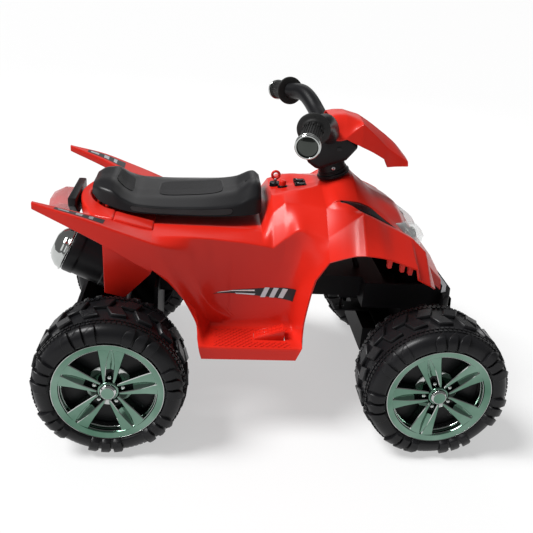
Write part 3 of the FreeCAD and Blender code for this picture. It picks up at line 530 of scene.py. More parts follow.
def verts_of(geom: Iterable[object]) -> list[bmesh.types.BMVert]:
    """Corners among the pieces that an operator returned."""
    return [item for item in geom if isinstance(item, bmesh.types.BMVert)]


def bridged(rings: Sequence[Sequence[Vector]], cyclic: bool = False) -> Mesh:
    """Closed skin over a row of rings.

    Args:
        rings: Corners of each ring, as many in all.
        cyclic: Whether the last ring joins the first, instead of both ends being filled.

    Returns:
        The mesh.
    """
    bm = bmesh.new()
    loops = []
    for ring in rings:
        verts = [bm.verts.new(point) for point in ring]
        loops.append([bm.edges.new((verts[k - 1], verts[k])) for k in range(len(verts))])
    for first, second in zip(loops, loops[1:] + loops[:1] if cyclic else loops[1:]):
        bmesh.ops.bridge_loops(bm, edges=first + second)
    if cyclic:
        bmesh.ops.recalc_face_normals(bm, faces=bm.faces[:])
    else:
        close(bm)
    return bm


def mirror_across(bm: Mesh) -> None:
    """Adds the mirror image of the mesh on the other side of the bike, merged on the middle plane.

    Args:
        bm: The mesh.
    """
    made = bmesh.ops.duplicate(bm, geom=bm.verts[:] + bm.edges[:] + bm.faces[:])["geom"]
    bmesh.ops.scale(bm, vec=(1, -1, 1), verts=verts_of(made))
    bmesh.ops.reverse_faces(bm, faces=[g for g in made if isinstance(g, bmesh.types.BMFace)])
    bmesh.ops.remove_doubles(bm, verts=bm.verts[:], dist=MERGE_GAP)


def to_side(bm: Mesh, side: float) -> Mesh:
    """Moves a right-hand mesh to its side of the bike.

    Args:
        bm: Mesh of the right-hand piece.
        side: 1 for the right, -1 for the left.

    Returns:
        The same mesh.
    """
    if side < 0:
        bmesh.ops.scale(bm, vec=(1, -1, 1), verts=bm.verts[:])
        bmesh.ops.reverse_faces(bm, faces=bm.faces[:])
    return bm


def roll(bm: Mesh, degrees: float, centre: Sequence[float] = (0, 0, 0)) -> None:
    """Turns a mesh about a line across the bike, through a centre."""
    bmesh.ops.rotate(bm, cent=centre, matrix=Matrix.Rotation(math.radians(degrees), 3, "Y"), verts=bm.verts[:])


def block(size: Triple, middle: Triple) -> Mesh:
    """Box of a size about its middle.

    Args:
        size: Length along each axis.
        middle: Where its middle lies.

    Returns:
        The mesh.
    """
    bm = bmesh.new()
    bmesh.ops.create_cube(bm, size=1.0)
    bmesh.ops.scale(bm, vec=size, verts=bm.verts[:])
    bmesh.ops.translate(bm, vec=middle, verts=bm.verts[:])
    return bm


def join(bm: Mesh, other: Mesh, index: int | None = 0) -> None:
    """Adds another mesh to a mesh and frees it.

    Args:
        bm: Mesh that grows.
        other: Mesh that is added.
        index: Material index of the added faces, None to keep theirs.
    """
    for face in other.faces if index is not None else ():
        face.material_index = index
    spare = bpy.data.meshes.new("spare")
    other.to_mesh(spare)
    other.free()
    bm.from_mesh(spare)
    bpy.data.meshes.remove(spare)


def soften(bm: Mesh, width: float, segments: int = 2, angle: float = 30.0, mark: int = 0) -> Mesh:
    """Rounds the sharp edges of a mesh.

    Args:
        bm: The mesh.
        width: Width of the rounding.
        segments: Faces across the rounding.
        angle: Least bend of an edge that is rounded, in degrees.
        mark: Material index of the faces of the rounding.

    Returns:
        The same mesh.
    """
    bm.normal_update()
    sharp = [e for e in bm.edges if len(e.link_faces) == 2 and e.calc_face_angle() > math.radians(angle)]
    made = bmesh.ops.bevel(bm, geom=sharp, offset=width, affect="EDGES", segments=segments, profile=0.5,
                           material=-1, clamp_overlap=True)
    for face in made["faces"]:
        face.material_index = mark
    return bm


def prism(outline: Sequence[Vector], push: Vector, bevel: float = 0.0, segments: int = 2) -> Mesh:
    """Solid pushed out from a flat outline.

    Args:
        outline: Corners of the outline in order.
        push: Direction and length of the push.
        bevel: Width of the rounded edges.
        segments: Faces across a rounded edge.

    Returns:
        The mesh.
    """
    bm = bmesh.new()
    face = bm.faces.new([bm.verts.new(point) for point in outline])
    made = bmesh.ops.extrude_face_region(bm, geom=[face], use_keep_orig=True)["geom"]
    bmesh.ops.translate(bm, vec=push, verts=verts_of(made))
    bmesh.ops.recalc_face_normals(bm, faces=bm.faces[:])
    return soften(bm, bevel, segments) if bevel else bm


def slab(outline: Iterable[Pair], axis: Axis, span: Pair, bevel: float = 0.0, segments: int = 2) -> Mesh:
    """Prism along one axis of the bike.

    Args:
        outline: Corners in the two other axes, in order.
        axis: Axis that the prism follows.
        span: Where it starts and ends on that axis.
        bevel: Width of the rounded edges.
        segments: Faces across a rounded edge.

    Returns:
        The mesh.
    """
    start, end = span
    push = Vector()
    push[axis] = end - start
    return prism([Vector((*pair[:axis], start, *pair[axis:])) for pair in outline], push, bevel, segments)


def rectangle(first: Pair, last: Pair) -> list[Pair]:
    """Corners of the rectangle between two opposite ones."""
    return [first, (last[0], first[1]), last, (first[0], last[1])]


def turned(profile: Sequence[Pair], centre: Vector, axis: Vector, count: int = 48) -> Mesh:
    """Solid of revolution.

    Args:
        profile: (radius, height along the axis) corners in order.
        centre: Foot of the axis.
        axis: Direction of the axis.
        count: Steps round the axis.

    Returns:
        The mesh.
    """
    axis = axis.normalized()
    out = axis.orthogonal().normalized()
    bm = bmesh.new()
    verts = [bm.verts.new(centre + out * radius + axis * height) for radius, height in profile]
    edges = [bm.edges.new(pair) for pair in zip(verts, verts[1:])]
    bmesh.ops.spin(bm, geom=verts + edges, cent=centre, axis=axis, angle=2 * math.pi, steps=count, use_merge=True)
    bmesh.ops.remove_doubles(bm, verts=bm.verts[:], dist=1e-6)
    bmesh.ops.recalc_face_normals(bm, faces=bm.faces[:])
    return bm


def fillet(corners: Sequence[Pair], radius: float, parts: int = 3, closed: bool = False) -> list[Pair]:
    """Rounds the corners of a flat line.

    Args:
        corners: Corners of the line.
        radius: Length that a rounding takes from each side of a corner.
        parts: Sides of each rounding.
        closed: Whether the line closes on itself.

    Returns:
        The rounded line.
    """
    points = [Vector((a, b, 0)) for a, b in corners]
    line = []
    for i, here in enumerate(points):
        if not closed and i in (0, len(points) - 1):
            line.append(here)
        else:
            line += bend(points[i - 1], here, points[(i + 1) % len(points)], radius, parts)
    return [(spot.x, spot.y) for spot in line]


def swept(path: Sequence[Vector], outline: Sequence[Pair], up: Vector) -> Mesh:
    """Bar that follows a path with one cross section.

    Args:
        path: Points of the path.
        outline: (across, up) corners of the cross section.
        up: Direction that the section's second number follows.

    Returns:
        The mesh, closed at both ends.
    """
    rings = []
    for i, here in enumerate(path):
        along = (path[min(i + 1, len(path) - 1)] - path[max(i - 1, 0)]).normalized()
        across = along.cross(up).normalized()
        rise = across.cross(along)
        rings.append([here + across * a + rise * b for a, b in outline])
    return bridged(rings)


def circle(radius: float, count: int = 24) -> list[Pair]:
    """Corners of a circle about the origin."""
    return [(radius * math.cos(a), radius * math.sin(a)) for a in steps(0, 2 * math.pi, count)[:-1]]


def smooth_path(points: Sequence[Triple], count: int) -> list[Vector]:
    """Smooth run of points through a few given ones.

    Args:
        points: Points on the way.
        count: Number of gaps between the points returned.

    Returns:
        The points of the run.
    """
    spots = [Vector(p) for p in points]
    knots = [0.0]
    for a, b in zip(spots, spots[1:]):
        knots.append(knots[-1] + (b - a).length)
    run = steps(0, knots[-1], count)
    return [Vector([eased(knots, [p[k] for p in spots], s) for k in range(3)]) for s in run]


@dataclass
class Piece:
    """One finished piece of the visual model.

    Attributes:
        name: Name of the piece.
        body: Body that it rides on.
        finishes: Its materials, by material index.
        solid: Whether it stands for the frame's solid of the same name.
        wall: Thickness given to an open shell, inwards.
        bevel: Width of rounded edges, 0 for none.
        edge: Least bend of a rounded edge, in degrees.
    """

    name: str
    body: Body
    finishes: Sequence[Finish]
    solid: bool = True
    wall: float = 0.0
    bevel: float = 0.0
    edge: float = 40.0

    def place(self, bm: Mesh) -> None:
        """Makes the object from its mesh and ties it to the frame.

        Args:
            bm: Mesh in the frame's metres, freed here.
        """
        mesh = bpy.data.meshes.new("visual_" + self.name)
        bm.to_mesh(mesh)
        bm.free()
        mesh.shade_smooth()
        for finish in self.finishes:
            mesh.materials.append(finish.material())
        thing = bpy.data.objects.new("visual_" + self.name, mesh)
        bpy.context.scene.collection.objects.link(thing)
        self.add_modifiers(thing)
        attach(thing, self.body.value)
        if self.solid:
            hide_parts(self.name)
        LOG.info("%s: %d faces on %s", self.name, len(mesh.polygons), self.body.value)

    def add_modifiers(self, thing: bpy.types.Object) -> None:
        """Gives the object its wall and its rounded edges.

        Args:
            thing: The object.
        """
        if self.wall:
            wall = thing.modifiers.new("wall", "SOLIDIFY")
            wall.thickness = self.wall
            wall.offset = -1.0
        if self.bevel:
            bevel = thing.modifiers.new("edges", "BEVEL")
            bevel.width = self.bevel
            bevel.segments = 2
            bevel.limit_method = "ANGLE"
            bevel.angle_limit = math.radians(self.edge)
            bevel.harden_normals = True
        else:
            thing.data.set_sharp_from_angle(angle=math.radians(self.edge))


@dataclass(frozen=True)
class WheelSpot:
    """Where one wheel stands.

    Attributes:
        end: Front or rear.
        side: Right or left.
        x: Place of the axle along the bike.
        turn: How far the wheel is rolled, in degrees.
    """

    end: str
    side: str
    x: float
    turn: float

    def name(self) -> str:
        """End and side as one word."""
        return self.end + "_" + self.side

    def body(self) -> Body:
        """Body of this wheel."""
        return Body("wheel_" + self.name())


@dataclass
class Wheel:
    """A moulded wheel: ribbed tyre, plated five-spoke cover and hub cap. Its outer face looks along -Y.

    Attributes:
        radius: Radius over the tread lugs.
        carcass: Radius under the lugs.
        middle: Distance of the wheel's middle plane from the middle of the bike.
        lug_rows: Middle y of each row of tread lugs.
        lugs: Tread lugs in each row.
        lug: Length of a lug round the tyre, its width and its height.
        groups: Groups of bars round a sidewall.
        bar_gap: Angle between the bars of a group, in degrees.
        bar_start: Angle of the first group from the top, in degrees.
        bar_line: Radius, y, share of the bar's width and sideways shift at points along a sidewall bar.
        bar_half: Half width of a bar.
        bar_depth: Depth of a bar's root towards the axle and inwards, and how much prouder the outer ones are.
        knobs: Small knobs in each shoulder row.
        knob_rows: y and top radius of each shoulder row.
        knob_size: Length of a knob round the tyre and its width.
        root: How deep lugs and knobs reach into the carcass.
        spokes: Number of spokes.
        rim: Radius of the plated cover.
        hub: Radius of the cover's hub.
        spoke_back: y of the back of the spokes.
        groove: Radius, half width and depth of the groove in a spoke, outwards.
        spots: Where the wheels stand.
    """

    radius: float = .160
    carcass: float = .151
    middle: float = .267
    lug_rows: Pair = (-.0165, .0165)
    lugs: int = 18
    lug: Triple = (.031, .03, .009)
    groups: int = 7
    bar_gap: float = 10.5
    bar_start: float = 23.0
    bar_line: tuple[Sizes, ...] = (
        (.1165, -.0738, .84, 0), (.1195, -.077, .87, 0), (.129, -.078, .94, 0), (.139, -.0755, 1.02, 0),
        (.148, -.0697, .85, .0024), (.1535, -.0615, .18, .0082))
    bar_half: float = .0098
    bar_depth: Triple = (.007, .01, .0015)
    knobs: int = 96
    knob_rows: Outline = ((-.0525, .1528), (-.0442, .1542))
    knob_size: Pair = (.0066, .0058)
    root: float = .006
    spokes: int = 5
    rim: float = .1122
    hub: float = .0215
    spoke_back: float = -.0415
    groove: tuple[Triple, ...] = (
        (.05, .008, .004), (.062, .0078, .005), (.076, .0064, .004), (.09, .0038, .002), (.1, .0016, .001))
    spots: tuple[WheelSpot, ...] = (
        WheelSpot("rear", "right", -.3415, -5), WheelSpot("rear", "left", -.3415, -5),
        WheelSpot("front", "right", .3415, 22), WheelSpot("front", "left", .3415, 22))

    def build(self) -> None:
        """Builds every wheel of the bike."""
        for spot in self.spots:
            # On the covers, the bright chrome (index 2) is painted highlight on edge beads and spoke roundings; the
            # green chrome carries a painted green reflection.
            for part, finishes, edge, make in (
                    ("tyre_", [TYRE], 38, self.tyre),
                    ("rim_", [CHROME, BLACK_GLOSS, BRIGHT_CHROME], 32, self.cover),
                    ("hub_cap_", [BRIGHT_CHROME, CHROME], 40, self.cap)):
                name = part + spot.name()
                Piece(name, spot.body(), finishes, edge=edge).place(self.settle(make(), spot))

    def settle(self, bm: Mesh, spot: WheelSpot) -> Mesh:
        """Rolls a wheel's mesh and moves it to its axle.

        Args:
            bm: Mesh about the origin, outer face along -Y.
            spot: Where the wheel stands.

        Returns:
            The same mesh.
        """
        roll(bm, -spot.turn)
        to_side(bm, SIDES[spot.side])
        bmesh.ops.translate(bm, vec=(spot.x, -self.middle * SIDES[spot.side], self.radius), verts=bm.verts[:])
        return bm

    def spun(self, profile: Sequence[Pair], count: int = 96) -> Mesh:
        """Solid turned about the axle from (radius, y) corners."""
        return turned(profile, Vector(), ACROSS, count)

    def ring_of(self, bm: Mesh, make: Callable[[], Mesh], angles: Iterable[float], index: int | None = 0) -> None:
        """Adds copies of a mesh round the axle.

        Args:
            bm: Mesh that grows.
            make: Makes one copy at the top of the wheel.
            angles: Angle of each copy from the top, in degrees.
            index: Material index of the copies, None to keep theirs.
        """
        for angle in angles:
            copy = make()
            roll(copy, angle)
            join(bm, copy, index)

    def sidewall(self) -> list[Pair]:
        """Line of the outer sidewall as (radius, y), from the rim to the tread."""
        return fillet([(.1125, -.066), (.1165, -.0742), (.127, -.0745), (.139, -.0705), (.1475, -.0625),
                       (self.carcass, -.05)], .006)

    def tyre(self) -> Mesh:
        """Hollow moulded tyre with its web, hub tube, lugs, knobs and bars.

        Returns:
            The mesh.
        """
        outer = self.sidewall()
        inner = [(r, -y) for r, y in reversed(outer)][:-2]
        back = [(.112, .0745), (.112, .069), (.132, .066), (.144, .055), (.144, -.055), (.13, -.066), (.119, -.062),
                (.114, -.034), (.028, -.034), (.028, .05), (.0064, .05)]
        front = [(.0064, -.046), (.022, -.046), (.022, -.04), (.108, -.04)]
        bm = self.spun(front + outer + inner + back)
        for row, middle in enumerate(self.lug_rows):
            angles = [(i + row / 2) * 360 / self.lugs for i in range(self.lugs)]
            self.ring_of(bm, lambda y=middle: self.lug_block(y), angles)
        for side in (1, -1):
            self.ring_of(bm, lambda s=side: self.bar(s), self.bar_angles())
            for row in range(len(self.knob_rows)):
                angles = [(i + row / 2) * 360 / self.knobs for i in range(self.knobs)]
                self.ring_of(bm, lambda s=side, r=row: self.knob(s, r), angles)
        return bm

    def bar_angles(self) -> list[float]:
        """Angle of every sidewall bar."""
        starts = [self.bar_start + i * 360 / self.groups for i in range(self.groups)]
        return [start + step * self.bar_gap for start in starts for step in (-1, 0, 1)]

    def lug_block(self, y: float) -> Mesh:
        """One tread lug with a slanted end, at the top of the wheel.

        Args:
            y: Middle of the lug across the tyre.

        Returns:
            The mesh.
        """
        length, width, height = self.lug
        lean = math.copysign(length / 5, y)
        foot = self.carcass - self.root
        outline = [(a * length / 2 + b * lean, y + b * width / 2) for a, b in rectangle((-1, -1), (1, 1))]
        top = math.sqrt(self.radius ** 2 - (length / 2 + abs(lean)) ** 2)
        return slab(outline, Axis.Z, (foot, top), height / 5, 1)

    def bar(self, side: int) -> Mesh:
        """One long sidewall bar with a pointed outer end that wraps over the shoulder.

        Args:
            side: 1 for the outer sidewall, -1 for the inner one.

        Returns:
            The mesh.
        """
        down, inwards, proud = self.bar_depth
        rings = []
        for radius, y, share, shift in self.bar_line:
            half = self.bar_half * share
            y -= proud if side > 0 else 0
            left, right = shift - half, shift + half
            deep, low = y + inwards, radius - down
            corners = ((left, y, radius), (right, y, radius), (right, deep, low), (left, deep, low))
            rings.append([Vector((a, b * side, c)) for a, b, c in corners])
        return soften(bridged(rings), .0011, 1, 50)

    def knob(self, side: int, row: int) -> Mesh:
        """One small shoulder knob.

        Args:
            side: 1 for the outer shoulder, -1 for the inner one.
            row: 0 for the outer row, then inwards.

        Returns:
            The mesh.
        """
        y, top = self.knob_rows[row]
        foot = self.carcass - self.root
        return block((*self.knob_size, top - foot), (0, y * side, (foot + top) / 2))

    def cover(self) -> Mesh:
        """Plated cover: rim ring with bright chrome beads on its edges as painted highlight lines, split spokes,
        hub, nut pockets and nuts.

        Returns:
            The mesh.
        """
        ring = fillet([(.1075, -.040), (.1085, -.055), (self.rim, -.0685), (self.rim, -.0702), (.1105, -.0716),
                       (.0985, -.0686), (.097, -.066), (.097, -.041), (.1075, -.040)], .0006, 2)
        bm = self.spun(ring)
        # Thin bright chrome beads on the ring's lip and inner edge are painted highlight lines.
        for radius, y in ((.1113, -.0712), (.0967, -.0648)):
            edge = [(radius + a, y + b) for a, b in circle(.0009, 8)]
            join(bm, self.spun(edge + edge[:1]), 2)
        step = fillet([(.0965, -.042), (.0965, -.056), (.094, -.0565), (.0925, -.054), (.0925, -.042)], .0008, 2)
        join(bm, self.spun(step), 2)
        angles = [i * 360 / self.spokes for i in range(self.spokes)]
        for mirror in (1, -1):
            self.ring_of(bm, lambda m=mirror: self.half_spoke(m), angles, None)
        self.ring_of(bm, self.groove_floor, angles)
        hub = fillet([(.0165, -.040), (.0165, -.0655), (.0175, -.0668), (.02, -.066), (self.hub, -.064),
                      (self.hub, -.040), (.0165, -.040)], .0008, 2)
        join(bm, self.spun(hub, 64))
        disc = fillet([(.03, -.0405), (.03, -.0455), (.046, -.0455), (.048, -.044), (.048, -.0405)], .001, 2)
        join(bm, self.spun(disc, 64), 2)
        self.ring_of(bm, self.pocket, angles, 1)
        self.ring_of(bm, self.nut, angles, 2)
        return bm

    def half_spoke(self, mirror: int) -> Mesh:
        """One half of a split spoke, at the top of the wheel.

        Args:
            mirror: 1 or -1 for the two halves.

        Returns:
            The mesh.
        """
        inner = [(.02, .0072), (.05, .0076), (.062, .0074), (.076, .006), (.09, .0034), (.1005, .0012)]
        outer = [(.1005, .029), (.094, .0272), (.088, .0258), (.07, .022), (.05, .0182), (.03, .0144), (.02, .0116)]
        knots, depths = (.02, .05, .07, .088, .1005), (-.0655, -.0648, -.0645, -.066, -.0692)
        faces = {r: eased(knots, depths, r) for r, _ in inner + outer}
        outline = [Vector((s * mirror, faces[r], r)) for r, s in inner + outer]
        bm = bmesh.new()
        face = bm.faces.new([bm.verts.new(point) for point in outline])
        made = bmesh.ops.extrude_face_region(bm, geom=[face], use_keep_orig=True)["geom"]
        for vert in verts_of(made):
            vert.co.y = self.spoke_back
        bmesh.ops.recalc_face_normals(bm, faces=bm.faces[:])
        # The spoke's edge roundings get the bright chrome (index 2), a painted highlight along them.
        return soften(bm, .0013, 1, 50, 2)

    def groove_floor(self) -> Mesh:
        """Hollow floor between two spoke halves.

        Returns:
            The mesh.
        """
        rings = []
        for r, half, deep in self.groove:
            face = -.0625 - (r - .05) * .08
            corners = ((-half, face), (0, face + deep), (half, face), (half, -.045), (-half, -.045))
            rings.append([Vector((a, b, r)) for a, b in corners])
        return bridged(rings)

    def pocket(self) -> Mesh:
        """Dark floor of the pocket that holds a nut."""
        outline = ((-.0078, .019), (-.0082, .0505), (.0082, .0505), (.0078, .019))
        return slab(outline, Axis.Y, (-.052, -.046))

    def nut(self) -> Mesh:
        """Domed plated nut in its pocket."""
        profile = [(.0056, .007), (.0056, -.0014), (.0042, -.0034), (.002, -.0044), (0, -.0046)]
        return turned(profile, Vector((0, -.0585, .0295)), ACROSS, 6)

    def cap(self) -> Mesh:
        """Hub cap with a flat face and a sloped edge.

        Returns:
            The mesh.
        """
        edge = fillet([(.0136, -.047), (.0162, -.047), (.0162, -.066), (.0172, -.068), (.0172, -.0702),
                       (.0135, -.0736), (.0128, -.0736)], .0006, 2)
        bm = self.spun(edge, 48)
        join(bm, self.spun([(0, -.0741), (.0124, -.0741), (.013, -.0734), (.013, -.06)], 48), 1)
        return bm


SEAT_FLOOR = ((0, .438), (-.112, .438))  # half of the flat floor under the seat
FOOTREST = ((-.165, .222), (-.255, .222), (-.255, .192))  # flat footrest and its lower edge


@dataclass
class BodyShell:
    """Red body: tank, seat well, concave knee panels with flared ends, and footrests.

    Attributes:
        skin: Half surface, from the middle of the bike outwards and down to the footrest's lower edge.
        rear_edge: (height, x) points of the rear edge of the knee panel, rising.
        front_edge: (height, x) points of its front edge, rising.
        battery_hole: First x, last x, right y and left y of the opening under the seat.
        seat_level: Lowest and highest z of the level part that this opening is cut in.
        pedal_hole: First x, last x, outer y and inner y of the opening for the pedal.
        rest_level: Lowest and highest z of the level part that this opening is cut in.
        pedal_room: First x, last x, outer y and inner y of the room that the ribs leave round the pedal.
        rest: First x, last x, outer y and inner y of the ribbed part of a footrest.
        rest_z: Height of the foot of the ribs.
        rib: Gap between the ribs, their width and their height.
        rib_parts: Parts of a rib, each left out where it has no room.
        panel_box: Lowest z, highest z and inner y of the part of the knee panel that is smoothed.
        smoothing: First x, last x, highest z and rounds of each smoothing of the knee panel.
        film: Lift of the graphic's blade and of what lies on it.
    """

    skin: Skin = Skin((
        (-.35, (*SEAT_FLOOR, (-.136, .456), (-.196, .462), (-.227, .4705), (-.228, .43), (-.228, .39),
                (-.228, .35), (-.228, .31))),
        (-.265, (*SEAT_FLOOR, (-.134, .4475), (-.192, .4425), (-.222, .4385), (-.219, .39), (-.216, .34),
                 (-.215, .29), (-.214, .24))),
        (-.19, (*SEAT_FLOOR, (-.132, .445), (-.188, .441), (-.195, .405), (-.194, .34), (-.204, .28),
                (-.24, .222), (-.24, .192))),
        (-.16, (*SEAT_FLOOR, (-.128, .444), (-.184, .438), (-.176, .335), (-.195, .275), (-.222, .24),
                (-.255, .222), (-.255, .192))),
        (-.138, (*SEAT_FLOOR, (-.128, .443), (-.18, .435), (-.16, .33), (-.158, .27), (-.166, .223),
                 (-.255, .222), (-.255, .192))),
        (-.07, (*SEAT_FLOOR, (-.128, .44), (-.173, .426), (-.15, .33), (-.152, .27), *FOOTREST)),
        (-.036, (*SEAT_FLOOR, (-.13, .435), (-.17, .42), (-.149, .33), (-.152, .27), *FOOTREST)),
        (-.014, ((0, .494), (-.066, .497), (-.114, .474), (-.167, .414), (-.148, .33), (-.152, .27), *FOOTREST)),
        (.011, ((0, .5), (-.065, .505), (-.1075, .4965), (-.168, .438), (-.15, .33), (-.152, .27), *FOOTREST)),
        (.04, ((0, .504), (-.062, .512), (-.1125, .4957), (-.174, .46), (-.16, .335), (-.158, .27), *FOOTREST)),
        (.07, ((0, .509), (-.05, .515), (-.12, .495), (-.181, .455), (-.2, .375), (-.224, .29), (-.24, .25),
               (-.258, .225), (-.258, .192))),
        (.098, ((0, .5176), (-.034, .5176), (-.127, .495), (-.19, .4502), (-.225, .411), (-.238, .34), (-.246, .28),
                (-.256, .24), (-.256, .2))),
        (.125, ((0, .5274), (-.034, .5274), (-.134, .505), (-.19, .474), (-.248, .4315), (-.25, .36), (-.252, .3),
                (-.256, .26), (-.256, .21)))),
        (.008, .003, ((-.265, .004), (.011, .004), (.034, .005), (.06, .008), (.098, .006)),
         ((-.265, .004), (-.19, .012), (-.16, .03), (-.138, .05), (.07, .05), (.098, .02)),
         .03, .014, .005), sharp=(-.036, -.014, .011, .098), span=(-.265, .098), core=(-.05, 0, .3))
    rear_edge: Outline = (
        (.19, -.157), (.212, -.163), (.3, -.178), (.322, -.186), (.354, -.241), (.372, -.265))
    front_edge: Outline = (
        (.19, .043), (.236, .058), (.262, .06), (.349, .072), (.378, .08), (.409, .098))
    battery_hole: Sizes = (-.25, -.09, -.045, .045)
    seat_level: Pair = (.43, .444)
    pedal_hole: Sizes = (-.0452, .0225, -.2226, -.1894)
    rest_level: Pair = (.215, .23)
    pedal_room: Sizes = (-.049, .029, -.228, -.185)
    rest: Sizes = (-.132, .036, -.251, -.176)
    rest_z: float = .2215
    rib: Triple = (.0125, .0014, .0014)
    rib_parts: int = 12
    panel_box: Triple = (.236, .475, -.13)
    smoothing: tuple[tuple[float, float, float, int], ...] = (
        (-.265, .098, .404, 12), (-.265, -.1, .404, 50), (.05, .098, .475, 5))
    film: Pair = (.0006, .001)

    def build(self) -> None:
        """Builds the shell, its footrest ribs and the side graphics."""
        bm = self.shell()
        ground = BVHTree.FromBMesh(bm)
        Piece("body_shell", Body.FRAME, [RED], wall=.0035, bevel=.0008, edge=50).place(bm)
        for name, side in SIDES.items():
            Piece("footrest_tread_" + name, Body.FRAME, [RED_MATT], solid=False
                  ).place(to_side(self.tread(side > 0), side))
            Piece("side_graphic_" + name, Body.FRAME, [DECAL_BLACK, DECAL_SILVER, DECAL_WHITE], solid=False
                  ).place(to_side(self.graphic(ground), side))

    def edge_x(self, row: int, edge: Sequence[Pair], limit: float) -> float:
        """Where a row of the surface meets an edge of the knee panel.

        Args:
            row: Row of the surface.
            edge: (height, x) points of the edge.
            limit: x of the surface's own end.

        Returns:
            The x of the row's end.
        """
        x = limit
        heights, places = [z for z, _ in edge], [x for _, x in edge]
        for _ in range(24):
            z = self.skin.run(x)[row].z
            x = (x + eased(heights, places, z)) / 2 if z < heights[-1] else limit
        return x

    def shell(self) -> Mesh:
        """Whole shell with the openings under the seat and for the pedal.

        Returns:
            The mesh.
        """
        first, last = self.skin.ends()
        columns = self.skin.columns(96)
        rows = self.skin.count()
        ends = [(self.edge_x(j, self.rear_edge, first), self.edge_x(j, self.front_edge, last)) for j in range(rows)]

        def place(x: float, row: float) -> Vector:
            """Point of a row, drawn in to the edges of the knee panel."""
            rear, front = ends[int(row)]
            spot = rear + (x - first) / (last - first) * (front - rear)
            return self.skin.run(spot)[int(row)]

        bm = patch(columns, range(rows), place)
        self.smooth_panel(bm)
        turn_out(bm, self.skin.core)
        mirror_across(bm)
        self.open(bm, self.battery_hole, self.seat_level)
        self.open(bm, self.pedal_hole, self.rest_level)
        return bm

    def smooth_panel(self, bm: Mesh) -> None:
        """Evens out the knee panel between its ridge and the footrest.

        Args:
            bm: Mesh of the right half.
        """
        low, high, y = self.panel_box
        inner = [v for v in bm.verts if not v.is_boundary and low < v.co.z < high and v.co.y < y]
        for start, end, top, rounds in self.smoothing:
            verts = [v for v in inner if start < v.co.x < end and v.co.z < top]
            for _ in range(rounds):
                bmesh.ops.smooth_vert(bm, verts=verts, factor=.5, use_axis_x=True, use_axis_y=True, use_axis_z=True)

    def open(self, bm: Mesh, box: Sequence[float], heights: Pair) -> None:
        """Cuts a rectangular opening through a level part of the shell.

        Args:
            bm: The mesh.
            box: First x, last x, first y and last y of the opening.
            heights: Lowest and highest z of the level part.
        """
        x0, x1, y0, y1 = box
        low, high = heights
        margin = .02
        planes = [(ALONG * x, ALONG) for x in (x0, x1)] + [(ACROSS * y, ACROSS) for y in (y0, y1)]
        cut_out(bm, planes, lambda c: x0 < c.x < x1 and y0 < c.y < y1 and low < c.z < high,
                lambda c: x0 - margin < c.x < x1 + margin and low < c.z < high)

    def tread(self, pedal: bool) -> Mesh:
        """Crossed raised ribs on one footrest.

        Args:
            pedal: Whether to leave room for the pedal.

        Returns:
            The mesh.
        """
        bm = bmesh.new()
        x0, x1, y0, y1 = self.rest
        gap, wide, high = self.rib
        rear, front, outer, inner = self.pedal_room
        for lean in (1.0, -1.0):
            for i in range(int((x1 - x0 + y1 - y0) / gap) + 1):
                start = x0 - (y1 - y0) + i * gap if lean > 0 else x0 + i * gap
                places = steps(y0, y1, self.rib_parts)
                for low, top in zip(places, places[1:]):
                    a, b = start + lean * (low - y0), start + lean * (top - y0)
                    if min(a, b) < x0 or max(a, b) > x1:
                        continue
                    if pedal and max(a, b) > rear and min(a, b) < front and top > outer and low < inner:
                        continue
                    outline = ((a - wide, low), (a + wide, low), (b + wide, top), (b - wide, top))
                    join(bm, slab(outline, Axis.Z, (self.rest_z, self.rest_z + high)))
        return bm

    def strip(self, ground: BVHTree, corners: Sequence[Pair], lift: float) -> Mesh:
        """Thin film on the knee panel, given by four (x, height) corners.

        Args:
            ground: Faces of the shell.
            corners: Rear low, front low, front high and rear high corners.
            lift: Height above the panel.

        Returns:
            The mesh.
        """
        low_rear, low_front, high_front, high_rear = [Vector((x, z, 0)) for x, z in corners]

        def place(u: float, v: float) -> Vector:
            """Point of the film over the panel."""
            spot = low_rear.lerp(low_front, u).lerp(high_rear.lerp(high_front, u), v)
            hit, normal, _, _ = ground.ray_cast(Vector((spot.x, -1, spot.y)), ACROSS)
            return hit + normal * lift

        bm = patch(steps(0, 1, 28), steps(0, 1, 3), place)
        turn_out(bm, self.skin.core)
        return bm

    def graphic(self, ground: BVHTree) -> Mesh:
        """Side graphic: a slim dark blade with three slanted bars and two pinstripes.

        Args:
            ground: Faces of the shell.

        Returns:
            The mesh.
        """
        bm = bmesh.new()
        low, high = self.film
        blade = ((-.112, .3), (.04, .286), (.045, .318), (-.138, .3025))
        bars = [((x, .29), (x + .011, .29), (x + .02, .314), (x + .009, .314)) for x in (-.032, -.012, .008)]
        pale = ((-.13, .3035), (-.045, .304), (-.045, .3075), (-.125, .3047))
        grey = ((-.085, .297), (-.045, .2945), (-.043, .298), (-.088, .2995))
        for corners, lift, index in ((blade, low, 0), *((bar, high, 1) for bar in bars), (pale, high, 2),
                                     (grey, high, 1)):
            join(bm, self.strip(ground, corners, lift), index)
        return bm


